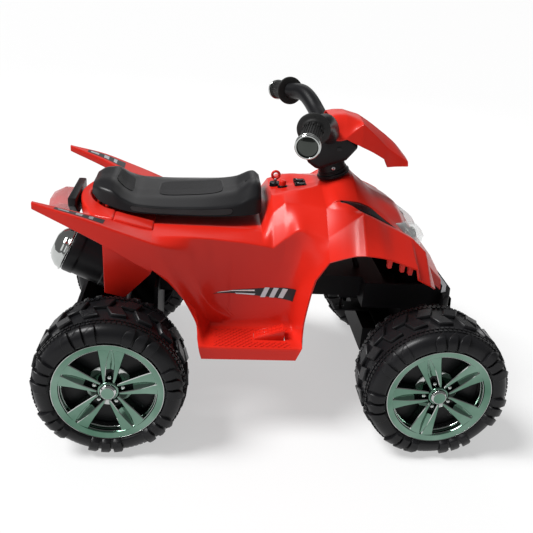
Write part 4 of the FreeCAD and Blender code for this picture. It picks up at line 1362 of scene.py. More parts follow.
@dataclass
class FrontEnd:
    """Cowl, fenders, black strips, headlights and bumper.

    Attributes:
        cowl: Half surface of the cowl, from the middle outwards.
        fender: Surface of the right fender, from its inner edge outwards.
        strip: Surface of the black strip between cowl and fender.
        lens_top: Corners of the upper end of the right headlight.
        lens_low: Corners of its lower end.
        crown: How far its front bulges.
        bumper: (x, y) outline of the bumper.
        bumper_z: Heights of the bumper.
        bumper_slots: Middle y of each slot in the bumper's front.
        bosses: x, y and top of the red bosses under the fender.
    """

    cowl: Skin = Skin((
        (.07, ((0, .509), (-.05, .515), (-.12, .495), (-.122, .472))),
        (.098, ((0, .5176), (-.034, .5176), (-.1245, .4955), (-.1255, .472))),
        (.125, ((0, .5274), (-.034, .5274), (-.12, .512), (-.1215, .488))),
        (.168, ((0, .5431), (-.034, .5431), (-.117, .5095), (-.1195, .492))),
        (.19, ((0, .528), (-.044, .5215), (-.1175, .5025), (-.1215, .496))),
        (.22, ((0, .505), (-.055, .5), (-.118, .4885), (-.136, .4825))),
        (.25, ((0, .4905), (-.062, .487), (-.118, .4695), (-.149, .463))),
        (.277, ((0, .478), (-.062, .4705), (-.115, .447), (-.135, .437))),
        (.301, ((0, .451), (-.062, .438), (-.117, .42), (-.13, .41))),
        (.34, ((0, .402), (-.062, .39), (-.118, .375), (-.124, .345))),
        (.392, ((0, .342), (-.06, .332), (-.1, .322), (-.106, .3)))),
        (.02, .003), sharp=(.168,), span=(.098, .392), fill=5, core=(.25, 0, .3))
    fender: Skin = Skin((
        (.07, ((-.12, .495), (-.1225, .4938), (-.188, .458), (-.205, .36))),
        (.098, ((-.1273, .4948), (-.1285, .4942), (-.19, .4502), (-.225, .411))),
        (.125, ((-.1242, .51), (-.143, .4985), (-.19, .4745), (-.243, .4295))),
        (.1455, ((-.1385, .5085), (-.155, .5018), (-.19, .493), (-.256, .4415))),
        (.1645, ((-.1555, .502), (-.159, .5025), (-.1885, .5085), (-.265, .4465))),
        (.195, ((-.1555, .4895), (-.159, .49), (-.186, .4945), (-.264, .4435))),
        (.2285, ((-.1575, .4747), (-.161, .4752), (-.174, .475), (-.26, .434))),
        (.256, ((-.1595, .463), (-.163, .4637), (-.176, .464), (-.26, .4245))),
        (.276, ((-.1615, .4535), (-.165, .4543), (-.178, .4545), (-.258, .417))),
        (.283, ((-.1625, .45), (-.166, .4508), (-.179, .451), (-.2555, .393))),
        (.3115, ((-.17, .4255), (-.1735, .4263), (-.186, .4265), (-.249, .377))),
        (.331, ((-.2115, .364), (-.2135, .3642), (-.221, .3643), (-.229, .361)))),
        (.002, ((.098, .004), (.135, .0035), (.331, .0035))), sharp=(.098, .1645, .276, .283, .3115),
        span=(.098, .331), fill=5, core=(.2, -.1, .3))
    strip: Skin = Skin((
        (.1275, ((-.1205, .5115), (-.1262, .5096))),
        (.1455, ((-.1192, .5105), (-.1385, .5078))),
        (.1645, ((-.1178, .5085), (-.1552, .5013))),
        (.195, ((-.119, .4985), (-.1552, .4888))),
        (.2285, ((-.13, .478), (-.1572, .474))),
        (.245, ((-.138, .467), (-.1585, .4668))),
        (.258, ((-.14, .456), (-.1595, .4612)))), (), core=(.2, -.1, .3))
    lens_top: tuple[Triple, ...] = (
        (.25, -.121, .4645), (.27, -.121, .4645), (.322, -.036, .441), (.296, -.036, .441))
    lens_low: tuple[Triple, ...] = (
        (.28, -.121, .405), (.318, -.121, .405), (.356, -.036, .405), (.325, -.036, .405))
    crown: float = .004
    bumper: Outline = ((.4, -.115), (.418, -.105), (.436, -.06), (.436, .06), (.418, .105), (.4, .115))
    bumper_z: Pair = (.215, .285)
    bumper_slots: Triple = (-.06, 0, .06)
    bosses: tuple[Triple, ...] = ((.222, -.238, .438), (.25, -.238, .43), (.268, -.238, .424))

    def build(self) -> None:
        """Builds the front of the bike."""
        bm = self.cowl.shell(self.cowl.columns(84))
        mirror_across(bm)
        for side in SIDES.values():
            self.open_lamp(bm, side)
        Piece("front_cowl", Body.FRAME, [RED], wall=.0035, bevel=.0008, edge=50).place(bm)
        for name, side in SIDES.items():
            Piece("front_fender_" + name, Body.FRAME, [RED], wall=.0038, bevel=.0012, edge=50
                  ).place(to_side(self.fender.shell(self.fender.columns(64)), side))
            Piece("fender_bosses_" + name, Body.FRAME, [RED_MATT], solid=False).place(to_side(self.boss_row(), side))
            Piece("cowl_strip_" + name, Body.FRAME, [BLACK_GLOSS], wall=.003
                  ).place(to_side(self.strip.shell(self.strip.columns(40)), side))
            Piece("headlight_lens_" + name, Body.FRAME, [CLEAR], edge=60).place(to_side(self.lens(), side))
            Piece("headlight_reflector_" + name, Body.FRAME, [BRIGHT_CHROME, CLEAR, FRAME_BLACK], solid=False
                  ).place(to_side(self.reflector(), side))
        Piece("front_bumper", Body.FRAME, [FRAME_BLACK, STEEL]).place(self.bumper_bar())

    def boss_row(self) -> Mesh:
        """Bosses under the edge of the right fender.

        Returns:
            The mesh.
        """
        bm = bmesh.new()
        for x, y, top in self.bosses:
            outline = ((x - .006, top), (x + .006, top), (x + .004, top - .03), (x - .004, top - .03))
            join(bm, slab(outline, Axis.Y, (y, y + .012), .001, 1))
        return bm

    def open_lamp(self, bm: Mesh, side: float) -> None:
        """Cuts the opening of one headlight in the cowl.

        Args:
            bm: Mesh of the cowl.
            side: 1 for the right, -1 for the left.
        """
        outer, inner = [Vector((p[0], p[1] * side, p[2])) for p in (self.lens_top[0], self.lens_top[3])]
        over = ALONG.cross(inner - outer).normalized() * side
        low = self.lens_low[0][2]
        planes = ((outer, over), (UP * low, UP), (outer, ACROSS), (inner, ACROSS))
        cut_out(bm, planes, lambda c: abs(inner.y) < c.y * -side < abs(outer.y) and c.z > low and c.x > outer.x
                and (c - outer).dot(over) < 0)

    def lens(self) -> Mesh:
        """Clear headlight cover with a crowned front.

        Returns:
            The mesh.
        """
        rings = []
        for s in steps(0, 1, 6):
            corners = [Vector(top).lerp(Vector(low), s) for top, low in zip(self.lens_top, self.lens_low)]
            crown = self.crown * math.sin(math.pi * s)
            bulge = Vector((crown, 0, crown / 2))
            rings.append([corners[0], corners[1] + bulge, corners[2] + bulge, corners[3]])
        return soften(bridged(rings), .003, 3, 40)

    def reflector(self) -> Mesh:
        """Plated bowls with bulbs and a dark back plate inside one headlight.

        Returns:
            The mesh.
        """
        bm = bmesh.new()
        aim = Vector((.62, -.42, .5)).normalized()
        for spot, radius in ((Vector((.316, -.058, .421)), .0135), (Vector((.292, -.098, .43)), .0135)):
            bowl = fillet([(.003, -.012), (radius * .6, -.009), (radius * .9, -.003), (radius, .004),
                           (radius, .0062), (radius * .8, .0042)], .002)
            join(bm, turned(bowl, spot, aim, 32), 0)
            bulb = [(0, .003), (.002, .0025), (.0034, 0), (.0036, -.004), (.0036, -.01)]
            join(bm, turned(bulb, spot, aim, 16), 1)
        back = [Vector(p) + Vector((.004, 0, 0)) for p in (self.lens_top[0], self.lens_top[3], self.lens_low[3],
                                                           self.lens_low[0])]
        middle = sum(back, Vector()) / len(back)
        plate = [corner.lerp(middle, .08) for corner in back]
        join(bm, prism(plate, Vector((.002, 0, 0))), 2)
        return bm

    def bumper_bar(self) -> Mesh:
        """Bumper with a grey plate on its top.

        Returns:
            The mesh.
        """
        high = self.bumper_z[1]
        bm = slab(self.bumper, Axis.Z, self.bumper_z, .006, 3)
        plate = [(.4 + (x - .4) * .8, y * .82) for x, y in self.bumper]
        join(bm, slab(plate, Axis.Z, (high - .001, high + .0012), .0008, 1), 1)
        for y in self.bumper_slots:
            slot = ((y - .02, .238), (y + .02, .238), (y + .014, .262), (y - .014, .262))
            join(bm, slab(slot, Axis.X, (.4345, .437), .0006, 1))
        return bm


@dataclass
class RearEnd:
    """Rear fender with its wings and arch, tail light and muffler.

    Attributes:
        wing: Closed cross lines of the right wing: outer bottom, outer top, inner top, inner bottom.
        arch_outer: (x, y) points of the right half of the outer edge of the arch behind the seat.
        arch_inner: The same for its inner edge.
        arch_z: Heights of the arch.
        rim: (x, z) outline of the rim beside the seat.
        rim_y: Outer and inner y of that rim.
        deck: First x, last x, half width, low and high of the deck.
        panel: (x, z) outline of the inner arch panel.
        panel_y: Outer and inner y of that panel.
        hinge: x and z of the seat's hinge.
        ear_y: Outer and inner y of the right ear that holds the hinge pin.
        bracket: First x, last x, half width, low and high of the tail light bracket.
        tail: x, half width, low and high of the sections of the tail light.
        muffler: Radius, length before the seam and length of the end dome.
        seam: Middle of the seam between the can and its dome.
        tilt: Rise of the muffler to the rear, in degrees.
        outlet: Radius and length of the outlet pipe, and its drop below the axis.
        films: First x, last x, inner and outer share across, lift and material index of each film on a wing.
        wing_core: Point under the right wing, that its films look away from.
    """

    wing: Skin = Skin((
        (-.494, ((-.218, .498), (-.218, .512), (-.206, .512), (-.206, .498))),
        (-.412, ((-.228, .46), (-.228, .492), (-.186, .486), (-.186, .468))),
        (-.35, ((-.23, .427), (-.227, .4705), (-.165, .464), (-.17, .44))),
        (-.2654, ((-.217, .372), (-.222, .4385), (-.16, .445), (-.16, .428))),
        (-.19, ((-.194, .34), (-.195, .405), (-.15, .441), (-.16, .42)))),
        (.003, .004, .004, .004), closed=True, fill=4, span=(-.494, -.2646))
    arch_outer: Outline = ((-.345, -.168), (-.39, -.15), (-.412, -.098), (-.428, -.05), (-.435, 0))
    arch_inner: Outline = ((-.345, -.116), (-.368, -.1), (-.384, -.078), (-.4, -.05), (-.412, 0))
    arch_z: Pair = (.434, .468)
    rim: Outline = ((-.346, .434), (-.346, .467), (-.32, .46), (-.2654, .4475), (-.2654, .434))
    rim_y: Pair = (-.168, -.118)
    deck: Sizes = (-.418, -.2654, .118, .434, .442)
    panel: Outline = (
        (-.37, .455), (-.367, .297), (-.325, .287), (-.27, .345), (-.2654, .36), (-.2654, .435))
    panel_y: Pair = (-.168, -.164)
    hinge: Pair = (-.385, .46)
    ear_y: Pair = (-.0575, -.0465)
    bracket: Sizes = (-.453, -.4353, .075, .425, .474)
    tail: tuple[Sizes, ...] = (
        (-.453, .056, .426, .463), (-.475, .054, .428, .464), (-.5, .04, .434, .453))
    muffler: Triple = (.048, .12, .034)
    seam: Triple = (-.446, -.11, .372)
    tilt: float = 24.6
    outlet: Triple = (.009, .024, .02)
    films: tuple[tuple[float, float, float, float, float, int], ...] = (
        (-.452, -.36, .22, .74, .0004, 0), (-.445, -.425, .35, .6, .0007, 1), (-.412, -.4, .3, .68, .0007, 1),
        (-.388, -.38, .3, .68, .0007, 1))
    wing_core: Triple = (-.4, -.2, .3)

    def build(self) -> None:
        """Builds the rear of the bike."""
        Piece("rear_fender", Body.FRAME, [RED], edge=35).place(self.fender())
        for name, side in SIDES.items():
            Piece("wing_graphic_" + name, Body.FRAME, [DECAL_BLACK, DECAL_SILVER], solid=False
                  ).place(to_side(self.graphic(), side))
        Piece("tail_light_bracket", Body.FRAME, [BLACK]).place(self.bracket_plate())
        Piece("tail_light_lens", Body.FRAME, [RED_LENS, RED], edge=20).place(self.lens())
        Piece("muffler", Body.FRAME, [BLACK, FRAME_BLACK]).place(self.can())
        Piece("muffler_cap", Body.FRAME, [BRIGHT_CHROME, CHROME]).place(self.dome())

    def fender(self) -> Mesh:
        """Wings, deck, arch and inner panels as one moulding.

        Returns:
            The mesh.
        """
        bm = self.wing.shell(self.wing.columns(40))
        close(bm)
        join(bm, slab(self.panel, Axis.Y, self.panel_y, .0015, 3))
        join(bm, slab(self.rim, Axis.Y, self.rim_y, .004, 3))
        x, z = self.hinge
        ear = [(x + a, b) for a, b in ((-.008, .438), (.008, .438), (.008, z + .004), (.004, z + .0085),
                                       (-.004, z + .0085), (-.008, z + .004))]
        join(bm, slab(ear, Axis.Y, self.ear_y, .001))
        mirror_across(bm)
        x0, x1, half, low, high = self.deck
        join(bm, slab(rectangle((x0, -half), (x1, half)), Axis.Z, (low, high), .002))
        join(bm, self.arch())
        return bm

    def arch(self) -> Mesh:
        """Arch that hugs the rear of the seat.

        Returns:
            The mesh.
        """
        low, high = self.arch_z
        outline = []
        for edge, way in ((self.arch_outer, 1), (self.arch_inner, -1)):
            whole = [(x, y, low) for x, y in edge] + [(x, -y, low) for x, y in reversed(edge[:-1])]
            outline += smooth_path(whole[::way], 32)
        return prism(outline, Vector((0, 0, high - low)), .006, 4)

    def graphic(self) -> Mesh:
        """Dark strip with silver bars on the top of one wing.

        Returns:
            The mesh.
        """
        bm = bmesh.new()
        for start, end, inner, outer, lift, index in self.films:
            def place(x: float, s: float) -> Vector:
                """Point of the film over the wing's top."""
                line = self.wing.line(x)
                return line[1].lerp(line[2], s) + Vector((0, 0, lift))
            film = patch(steps(start, end, 12), steps(inner, outer, 3), place)
            turn_out(film, self.wing_core)
            join(bm, film, index)
        return bm

    def bracket_plate(self) -> Mesh:
        """Black tail light bracket, narrower towards its foot.

        Returns:
            The mesh.
        """
        x0, x1, half, low, high = self.bracket
        outline = ((-half * .55, low), (half * .55, low), (half, high - .018), (half, high), (-half, high),
                   (-half, high - .018))
        return slab(outline, Axis.X, (x0, x1), .003)

    def lens(self) -> Mesh:
        """Faceted red tail light.

        Returns:
            The mesh.
        """
        rings = []
        for x, half, low, high in self.tail:
            corners = [(-half, low + .006), (-half * .8, low), (half * .8, low), (half, low + .006),
                       (half, high - .01), (half * .62, high), (-half * .62, high), (-half, high - .01)]
            rings.append([Vector((x, y, z)) for y, z in corners])
        return soften(bridged(rings), .001, 2, 12)

    def way(self) -> Vector:
        """Direction of the muffler, to the rear and up."""
        tilt = math.radians(self.tilt)
        return Vector((-math.cos(tilt), 0, math.sin(tilt)))

    def spun(self, profile: Sequence[Pair]) -> Mesh:
        """Solid turned about the muffler, from (radius, distance behind the seam) corners."""
        return turned(profile, Vector(self.seam), self.way(), 56)

    def can(self) -> Mesh:
        """Black muffler can with two bands and its hanger.

        Returns:
            The mesh.
        """
        radius, length, _ = self.muffler
        profile = [(0, -length), (radius * .55, -length), (radius * .92, -length * .93), (radius, -length * .84),
                   (radius, -length * .7), (radius * .965, -length * .69), (radius * .965, -length * .2),
                   (radius, -length * .19), (radius, -.004), (radius * .97, 0), (0, 0)]
        bm = self.spun(fillet(profile, .003, 2))
        join(bm, slab(rectangle((-.39, .37), (-.365, .4336)), Axis.Y, (-.125, -.095), .002), 1)
        return bm

    def dome(self) -> Mesh:
        """Plated end of the muffler with its outlet pipe.

        Returns:
            The mesh.
        """
        radius, _, length = self.muffler
        profile = fillet([(0, .0005), (radius, .0005), (radius, .006), (radius * .965, .009),
                          (radius * .93, length * .45), (radius * .7, length * .8), (radius * .42, length),
                          (0, length)], .004)
        bm = self.spun(profile)
        bead = [(radius + a, .004 + b) for a, b in circle(.0022, 12)]
        join(bm, self.spun(bead + bead[:1]))
        pipe, reach, drop = self.outlet
        foot = Vector(self.seam) - Vector((0, 0, drop)) + self.way() * (length / 2)
        tube = fillet([(pipe, 0), (pipe, reach - .003), (pipe + .0012, reach), (pipe - .002, reach),
                       (pipe - .0025, reach - .012), (0, reach - .012)], .0012, 2)
        join(bm, turned(tube, foot, self.way(), 32), 1)
        return bm


@dataclass
class Seat:
    """Hard moulded saddle with pebbled panels, hinged at the rear.

    Attributes:
        skin: Half surface: middle of the top, top edge, shoulder and lower edge.
        panels: First x, last x, first and last place across in corners, of each pebbled panel.
        slot: Middle x, half length and half width of the small slot near the front.
        slot_rise: Rise of the saddle at the slot, per length.
        lug: First x, last x, outer y, inner y, low and high of the right hinge lug.
    """

    skin: Skin = Skin((
        (-.402, ((0, .5012), (-.04, .502), (-.058, .496), (-.062, .484))),
        (-.385, ((0, .5095), (-.048, .511), (-.076, .501), (-.083, .474))),
        (-.36, ((0, .511), (-.05, .514), (-.09, .499), (-.098, .468))),
        (-.332, ((0, .4905), (-.058, .494), (-.1, .484), (-.108, .464))),
        (-.302, ((0, .4775), (-.06, .481), (-.106, .476), (-.113, .461))),
        (-.25, ((0, .4785), (-.06, .482), (-.11, .474), (-.116, .4605))),
        (-.18, ((0, .483), (-.06, .4865), (-.111, .476), (-.117, .4605))),
        (-.13, ((0, .4895), (-.058, .493), (-.108, .479), (-.115, .461))),
        (-.09, ((0, .4985), (-.055, .502), (-.102, .486), (-.11, .462))),
        (-.05, ((0, .5195), (-.045, .522), (-.088, .498), (-.098, .463))),
        (-.0375, ((0, .512), (-.042, .514), (-.08, .491), (-.09, .466)))),
        (.014, .006), fill=5, parts=5, core=(-.2, 0, .44))
    panels: tuple[Sizes, ...] = (
        (-.352, -.318, -.8, .8), (-.262, -.12, -.82, .82), (-.318, -.1, 2.18, 2.86), (-.318, -.1, -2.86, -2.18))
    slot: Triple = (-.066, .006, .017)
    slot_rise: float = .53
    lug: Sizes = (-.391, -.379, -.045, -.032, .4515, .506)

    def build(self) -> None:
        """Builds the saddle, its panels, its base and its hinge lugs."""
        Piece("seat", Body.SEAT, [SEAT_BLACK], wall=.0035, bevel=.0016, edge=55).place(self.shell())
        bm = bmesh.new()
        for panel in self.panels:
            join(bm, self.film(panel, .0014, .0002), 1)
            join(bm, self.film(panel, 0, .0009), 0)
        Piece("seat_panels", Body.SEAT, [SEAT_PANEL, BLACK_GLOSS], solid=False).place(bm)
        Piece("seat_base", Body.SEAT, [BLACK], solid=False).place(self.base())

    def shell(self) -> Mesh:
        """Upper moulding, open below, with closed ends.

        Returns:
            The mesh.
        """
        first, last = self.skin.ends()
        columns = [first, first + .0015] + steps(first + .006, last - .004, 72) + [last - .0012, last]
        return self.skin.capped(columns, (first, last))

    def film(self, panel: Sequence[float], grow: float, lift: float) -> Mesh:
        """Raised panel with rounded ends on the saddle.

        Args:
            panel: First x, last x, first and last place across in corners, negative on the left.
            grow: Growth of the panel at its ends.
            lift: Height above the saddle.

        Returns:
            The mesh.
        """
        x0, x1, t0, t1 = panel
        middle, reach = (x0 + x1) / 2, (x1 - x0) / 2 + grow
        centre, spread = (t0 + t1) / 2, (t1 - t0) / 2 + grow * (12 if abs(t0 + t1) < 1 else 30)

        def place(u: float, v: float) -> Vector:
            """Point of the panel, drawn in towards its ends."""
            t = centre + spread * v * (1 - abs(u) ** 7) ** .25
            spot = self.skin.lifted(middle + reach * u, abs(t), lift)
            return spot if t >= 0 else Vector((spot.x, -spot.y, spot.z))

        bm = patch(steps(-1, 1, 60), steps(-1, 1, 12), place)
        turn_out(bm, (middle, 0, .4))
        return bm

    def base(self) -> Mesh:
        """Black base plate under the rim, the hinge lugs and the dark slot near the front.

        Returns:
            The mesh.
        """
        outline = [Vector((x, line[3][0] + .006, .4615)) for x, line in self.skin.stations[2:]]
        outline += [Vector((p.x, -p.y, p.z)) for p in reversed(outline)]
        bm = prism(outline, Vector((0, 0, .005)), .001, 1)
        x0, x1, outer, inner, low, high = self.lug
        for side in (1, -1):
            lug = slab(rectangle((x0, low), (x1, high - .004)), Axis.Y, (outer, inner), .001, 1)
            join(bm, to_side(lug, side))
        x, half_x, half_y = self.slot
        slot = [Vector((x + dx, dy, self.skin.point(x, 0).z + dx * self.slot_rise + .0002)) for dx, dy in
                fillet([(-half_x, -half_y), (half_x, -half_y * .7), (half_x, half_y * .7), (-half_x, half_y)],
                       .004, 3, closed=True)]
        join(bm, prism(slot, Vector((0, 0, .0008))))
        return bm


@dataclass
class Steering:
    """Handlebar, grips, red pod and the black head on the column.

    Attributes:
        path: Points of the right half of the bar, from the middle.
        bar: Radius of the bar between the grips and inside them.
        grip: Radius of a grip, of its flange and of its end cap.
        ribs: Number of ribs along a grip.
        pads: Number of raised pads beside a grip's flange.
        pad: Height, width and length of a pad.
        cap_length: Length of the plated end cap.
        pod: Half surface of the pod, from the middle outwards.
        foot: Foot of the column on the tank.
        rake: Lean of the column, in degrees.
        head_outline: (x, z) outline of the clamp under the pod.
        head_half: Half width of the clamp.
        screw_height: Height of the stem screw along the column.
    """

    path: tuple[Triple, ...] = (
        (.108, 0, .622), (.096, -.085, .65), (.064, -.168, .684), (.041, -.2, .68), (.02, -.28, .667))
    bar: Pair = (.019, .015)
    grip: Triple = (.02, .033, .0245)
    ribs: int = 26
    pads: int = 12
    pad: Triple = (.0026, .0058, .011)
    cap_length: float = .012
    pod: Skin = Skin((
        (.102, ((0, .672), (-.04, .673), (-.0618, .631), (-.062, .628))),
        (.122, ((0, .677), (-.041, .6765), (-.0637, .629), (-.064, .6255))),
        (.138, ((0, .679), (-.04, .677), (-.0655, .6345), (-.066, .63))),
        (.172, ((0, .672), (-.034, .6685), (-.058, .664), (-.066, .616))),
        (.2, ((0, .656), (-.034, .6495), (-.056, .642), (-.062, .604))),
        (.229, ((0, .637), (-.028, .629), (-.053, .617), (-.058, .589))),
        (.238, ((0, .631), (-.028, .6225), (-.052, .61), (-.057, .5715))),
        (.262, ((0, .613), (-.026, .606), (-.048, .596), (-.053, .573))),
        (.287, ((0, .588), (-.022, .586), (-.042, .582), (-.047, .573)))),
        (.022, ((.102, .001), (.138, .0015), (.172, .0025), (.287, .0025))), sharp=(.138, .172, .229, .238), fill=4,
        core=(.18, 0, .55))
    foot: Triple = (.132, 0, .53)
    rake: float = 20.0
    head_outline: Outline = (
        (.047, .6), (.052, .585), (.064, .567), (.086, .552), (.148, .577), (.174, .61), (.155, .628), (.13, .635),
        (.075, .635), (.053, .622))
    head_half: float = .045
    screw_height: float = .027

    def build(self) -> None:
        """Builds the steering above the tank."""
        Piece("handlebar", Body.STEERING, [BLACK]).place(self.tube())
        Piece("steering_head", Body.STEERING, [BLACK, BLACK_GLOSS]).place(self.head())
        Piece("stem_screw", Body.STEERING, [STEEL, BLACK]).place(self.screw())
        Piece("handlebar_pod", Body.STEERING, [RED], wall=.0035, bevel=.0012, edge=50).place(self.hood())
        for name, side in SIDES.items():
            Piece("grip_" + name, Body.STEERING, [GRIP_BLACK]).place(to_side(self.handle(), side))
            Piece("grip_cap_" + name, Body.STEERING, [BRIGHT_CHROME, DARK_CHROME]
                  ).place(to_side(self.end_cap(), side))

    def tube(self) -> Mesh:
        """Bent bar from grip to grip, thinner inside the grips.

        Returns:
            The mesh.
        """
        wide, thin = self.bar
        middle = [(x, -y, z) for x, y, z in reversed(self.path[1:-1])] + list(self.path[:-1])
        bm = swept(smooth_path(middle, 96), circle(wide, 32), Vector((1, 0, .2)))
        start, way = self.grip_line()
        for side in (1, -1):
            core = [(0, -.004), (thin, -.004), (thin, way.length), (0, way.length)]
            join(bm, to_side(turned(core, start, way, 32), side))
        return bm

    def hood(self) -> Mesh:
        """Pod with a closed tip, open below."""
        return self.pod.capped(self.pod.columns(60), self.pod.ends()[1:])

    def grip_line(self) -> tuple[Vector, Vector]:
        """Start and direction of the right grip."""
        start, end = Vector(self.path[-2]), Vector(self.path[-1])
        return start, end - start

    def handle(self) -> Mesh:
        """Grip with ribs along it, pads beside its large inner flange and a collar at its end.

        Returns:
            The mesh.
        """
        start, way = self.grip_line()
        radius, flange, _ = self.grip
        length = way.length
        inside = self.bar[1] - .0003
        ring = fillet([(inside, 0), (flange - .003, 0), (flange, .0014), (flange, .0046), (flange - .004, .006),
                       (radius + .0035, .0072), (radius + .0006, .0095), (radius + .0006, .013), (inside, .013)],
                      .0008, 2)
        bm = turned(ring, start, way, 48)
        collar = fillet([(inside, length - .006), (radius + .001, length - .006), (radius + .001, length - .001),
                         (inside, length - .0005)], .0008, 2)
        join(bm, turned(collar, start, way, 48))
        outline = []
        for i in range(self.ribs):
            for share, rise in ((0, 0), (.15, 1), (.6, 1), (.75, 0)):
                a = 2 * math.pi * (i + share) / self.ribs
                r = radius - .0016 * (1 - rise)
                outline.append((r * math.cos(a), r * math.sin(a)))
        along = way.normalized()
        spots = [start + along * s for s in (.009, length * .5, length - .003)]
        join(bm, swept(spots, outline, UP))
        turn = way.to_track_quat("Z", "Y").to_matrix().to_4x4()
        for i in range(self.pads):
            pad = block(self.pad, (radius + .0002, 0, .021))
            spin = Matrix.Rotation(2 * math.pi * i / self.pads, 4, "Z")
            bmesh.ops.transform(pad, matrix=Matrix.Translation(start) @ turn @ spin, verts=pad.verts[:])
            join(bm, soften(pad, .0006, 1))
        return bm

    def end_cap(self) -> Mesh:
        """Plated end cap: stepped rings and a domed face.

        Returns:
            The mesh.
        """
        start, way = self.grip_line()
        end = start + way
        _, _, radius = self.grip
        deep = self.cap_length
        ring = fillet([(radius * .8, 0), (radius, .0004), (radius, deep * .24), (radius * .93, deep * .3),
                       (radius * .93, deep * .44), (radius * .985, deep * .5), (radius * .985, deep * .7),
                       (radius * .93, deep * .84), (radius * .84, deep * .86), (radius * .8, deep * .7)], .0008)
        bm = turned(ring, end, way, 48)
        face = [(0, deep * 1.02), (radius * .3, deep * .97), (radius * .6, deep * .82), (radius * .82, deep * .6),
                (radius * .82, 0), (0, 0)]
        # The domed face takes the darkened chrome: a painted dark reflection.
        join(bm, turned(face, end, way, 48), 1)
        return bm

    def axis(self) -> Vector:
        """Direction of the column, upwards."""
        rake = math.radians(self.rake)
        return Vector((-math.sin(rake), 0, math.cos(rake)))

    def head(self) -> Mesh:
        """Black stem with a grooved flange, and the bowl-shaped clamp under the pod.

        Returns:
            The mesh.
        """
        base = Vector(self.foot)
        collar = fillet([(.0075, .0046), (.0355, .0046), (.037, .006), (.037, .0078), (.0358, .0084), (.037, .009),
                         (.037, .0114), (.0335, .0128), (.0328, .0136), (.0328, .0156), (.0318, .0162),
                         (.0328, .0168), (.0328, .0188), (.031, .0198), (.031, .062), (.0075, .062)], .0004, 2)
        bm = turned(collar, base, self.axis(), 64)
        join(bm, slab(self.head_outline, Axis.Y, (-self.head_half, self.head_half), .01, 5))
        join(bm, slab(rectangle((.129, .62), (.145, .671)), Axis.Y, (-.03, .03), .002))
        for y in (-self.head_half - .001, self.head_half - .002):
            boss = fillet([(0, 0), (.006, 0), (.006, .0025), (0, .003)], .0008, 2)
            join(bm, turned(boss, Vector((.128, y, .603)), ACROSS, 24), 1)
        return bm

    def screw(self) -> Mesh:
        """Round-headed screw in the stem with a cross recess.

        Returns:
            The mesh.
        """
        spot = Vector(self.foot) + self.axis() * self.screw_height
        out = -ACROSS
        head = fillet([(0, .0295), (.0042, .0295), (.0042, .0318), (.003, .0328), (0, .033)], .0008, 2)
        bm = turned(head, spot, out, 24)
        for turn in (0, 90):
            bar = [spot + out * .0328 + Vector((x, 0, z)) for x, z in rectangle((-.0022, -.0005), (.0022, .0005))]
            cross = prism(bar, out * .0004)
            roll(cross, turn, spot)
            join(bm, cross, 1)
        return bm


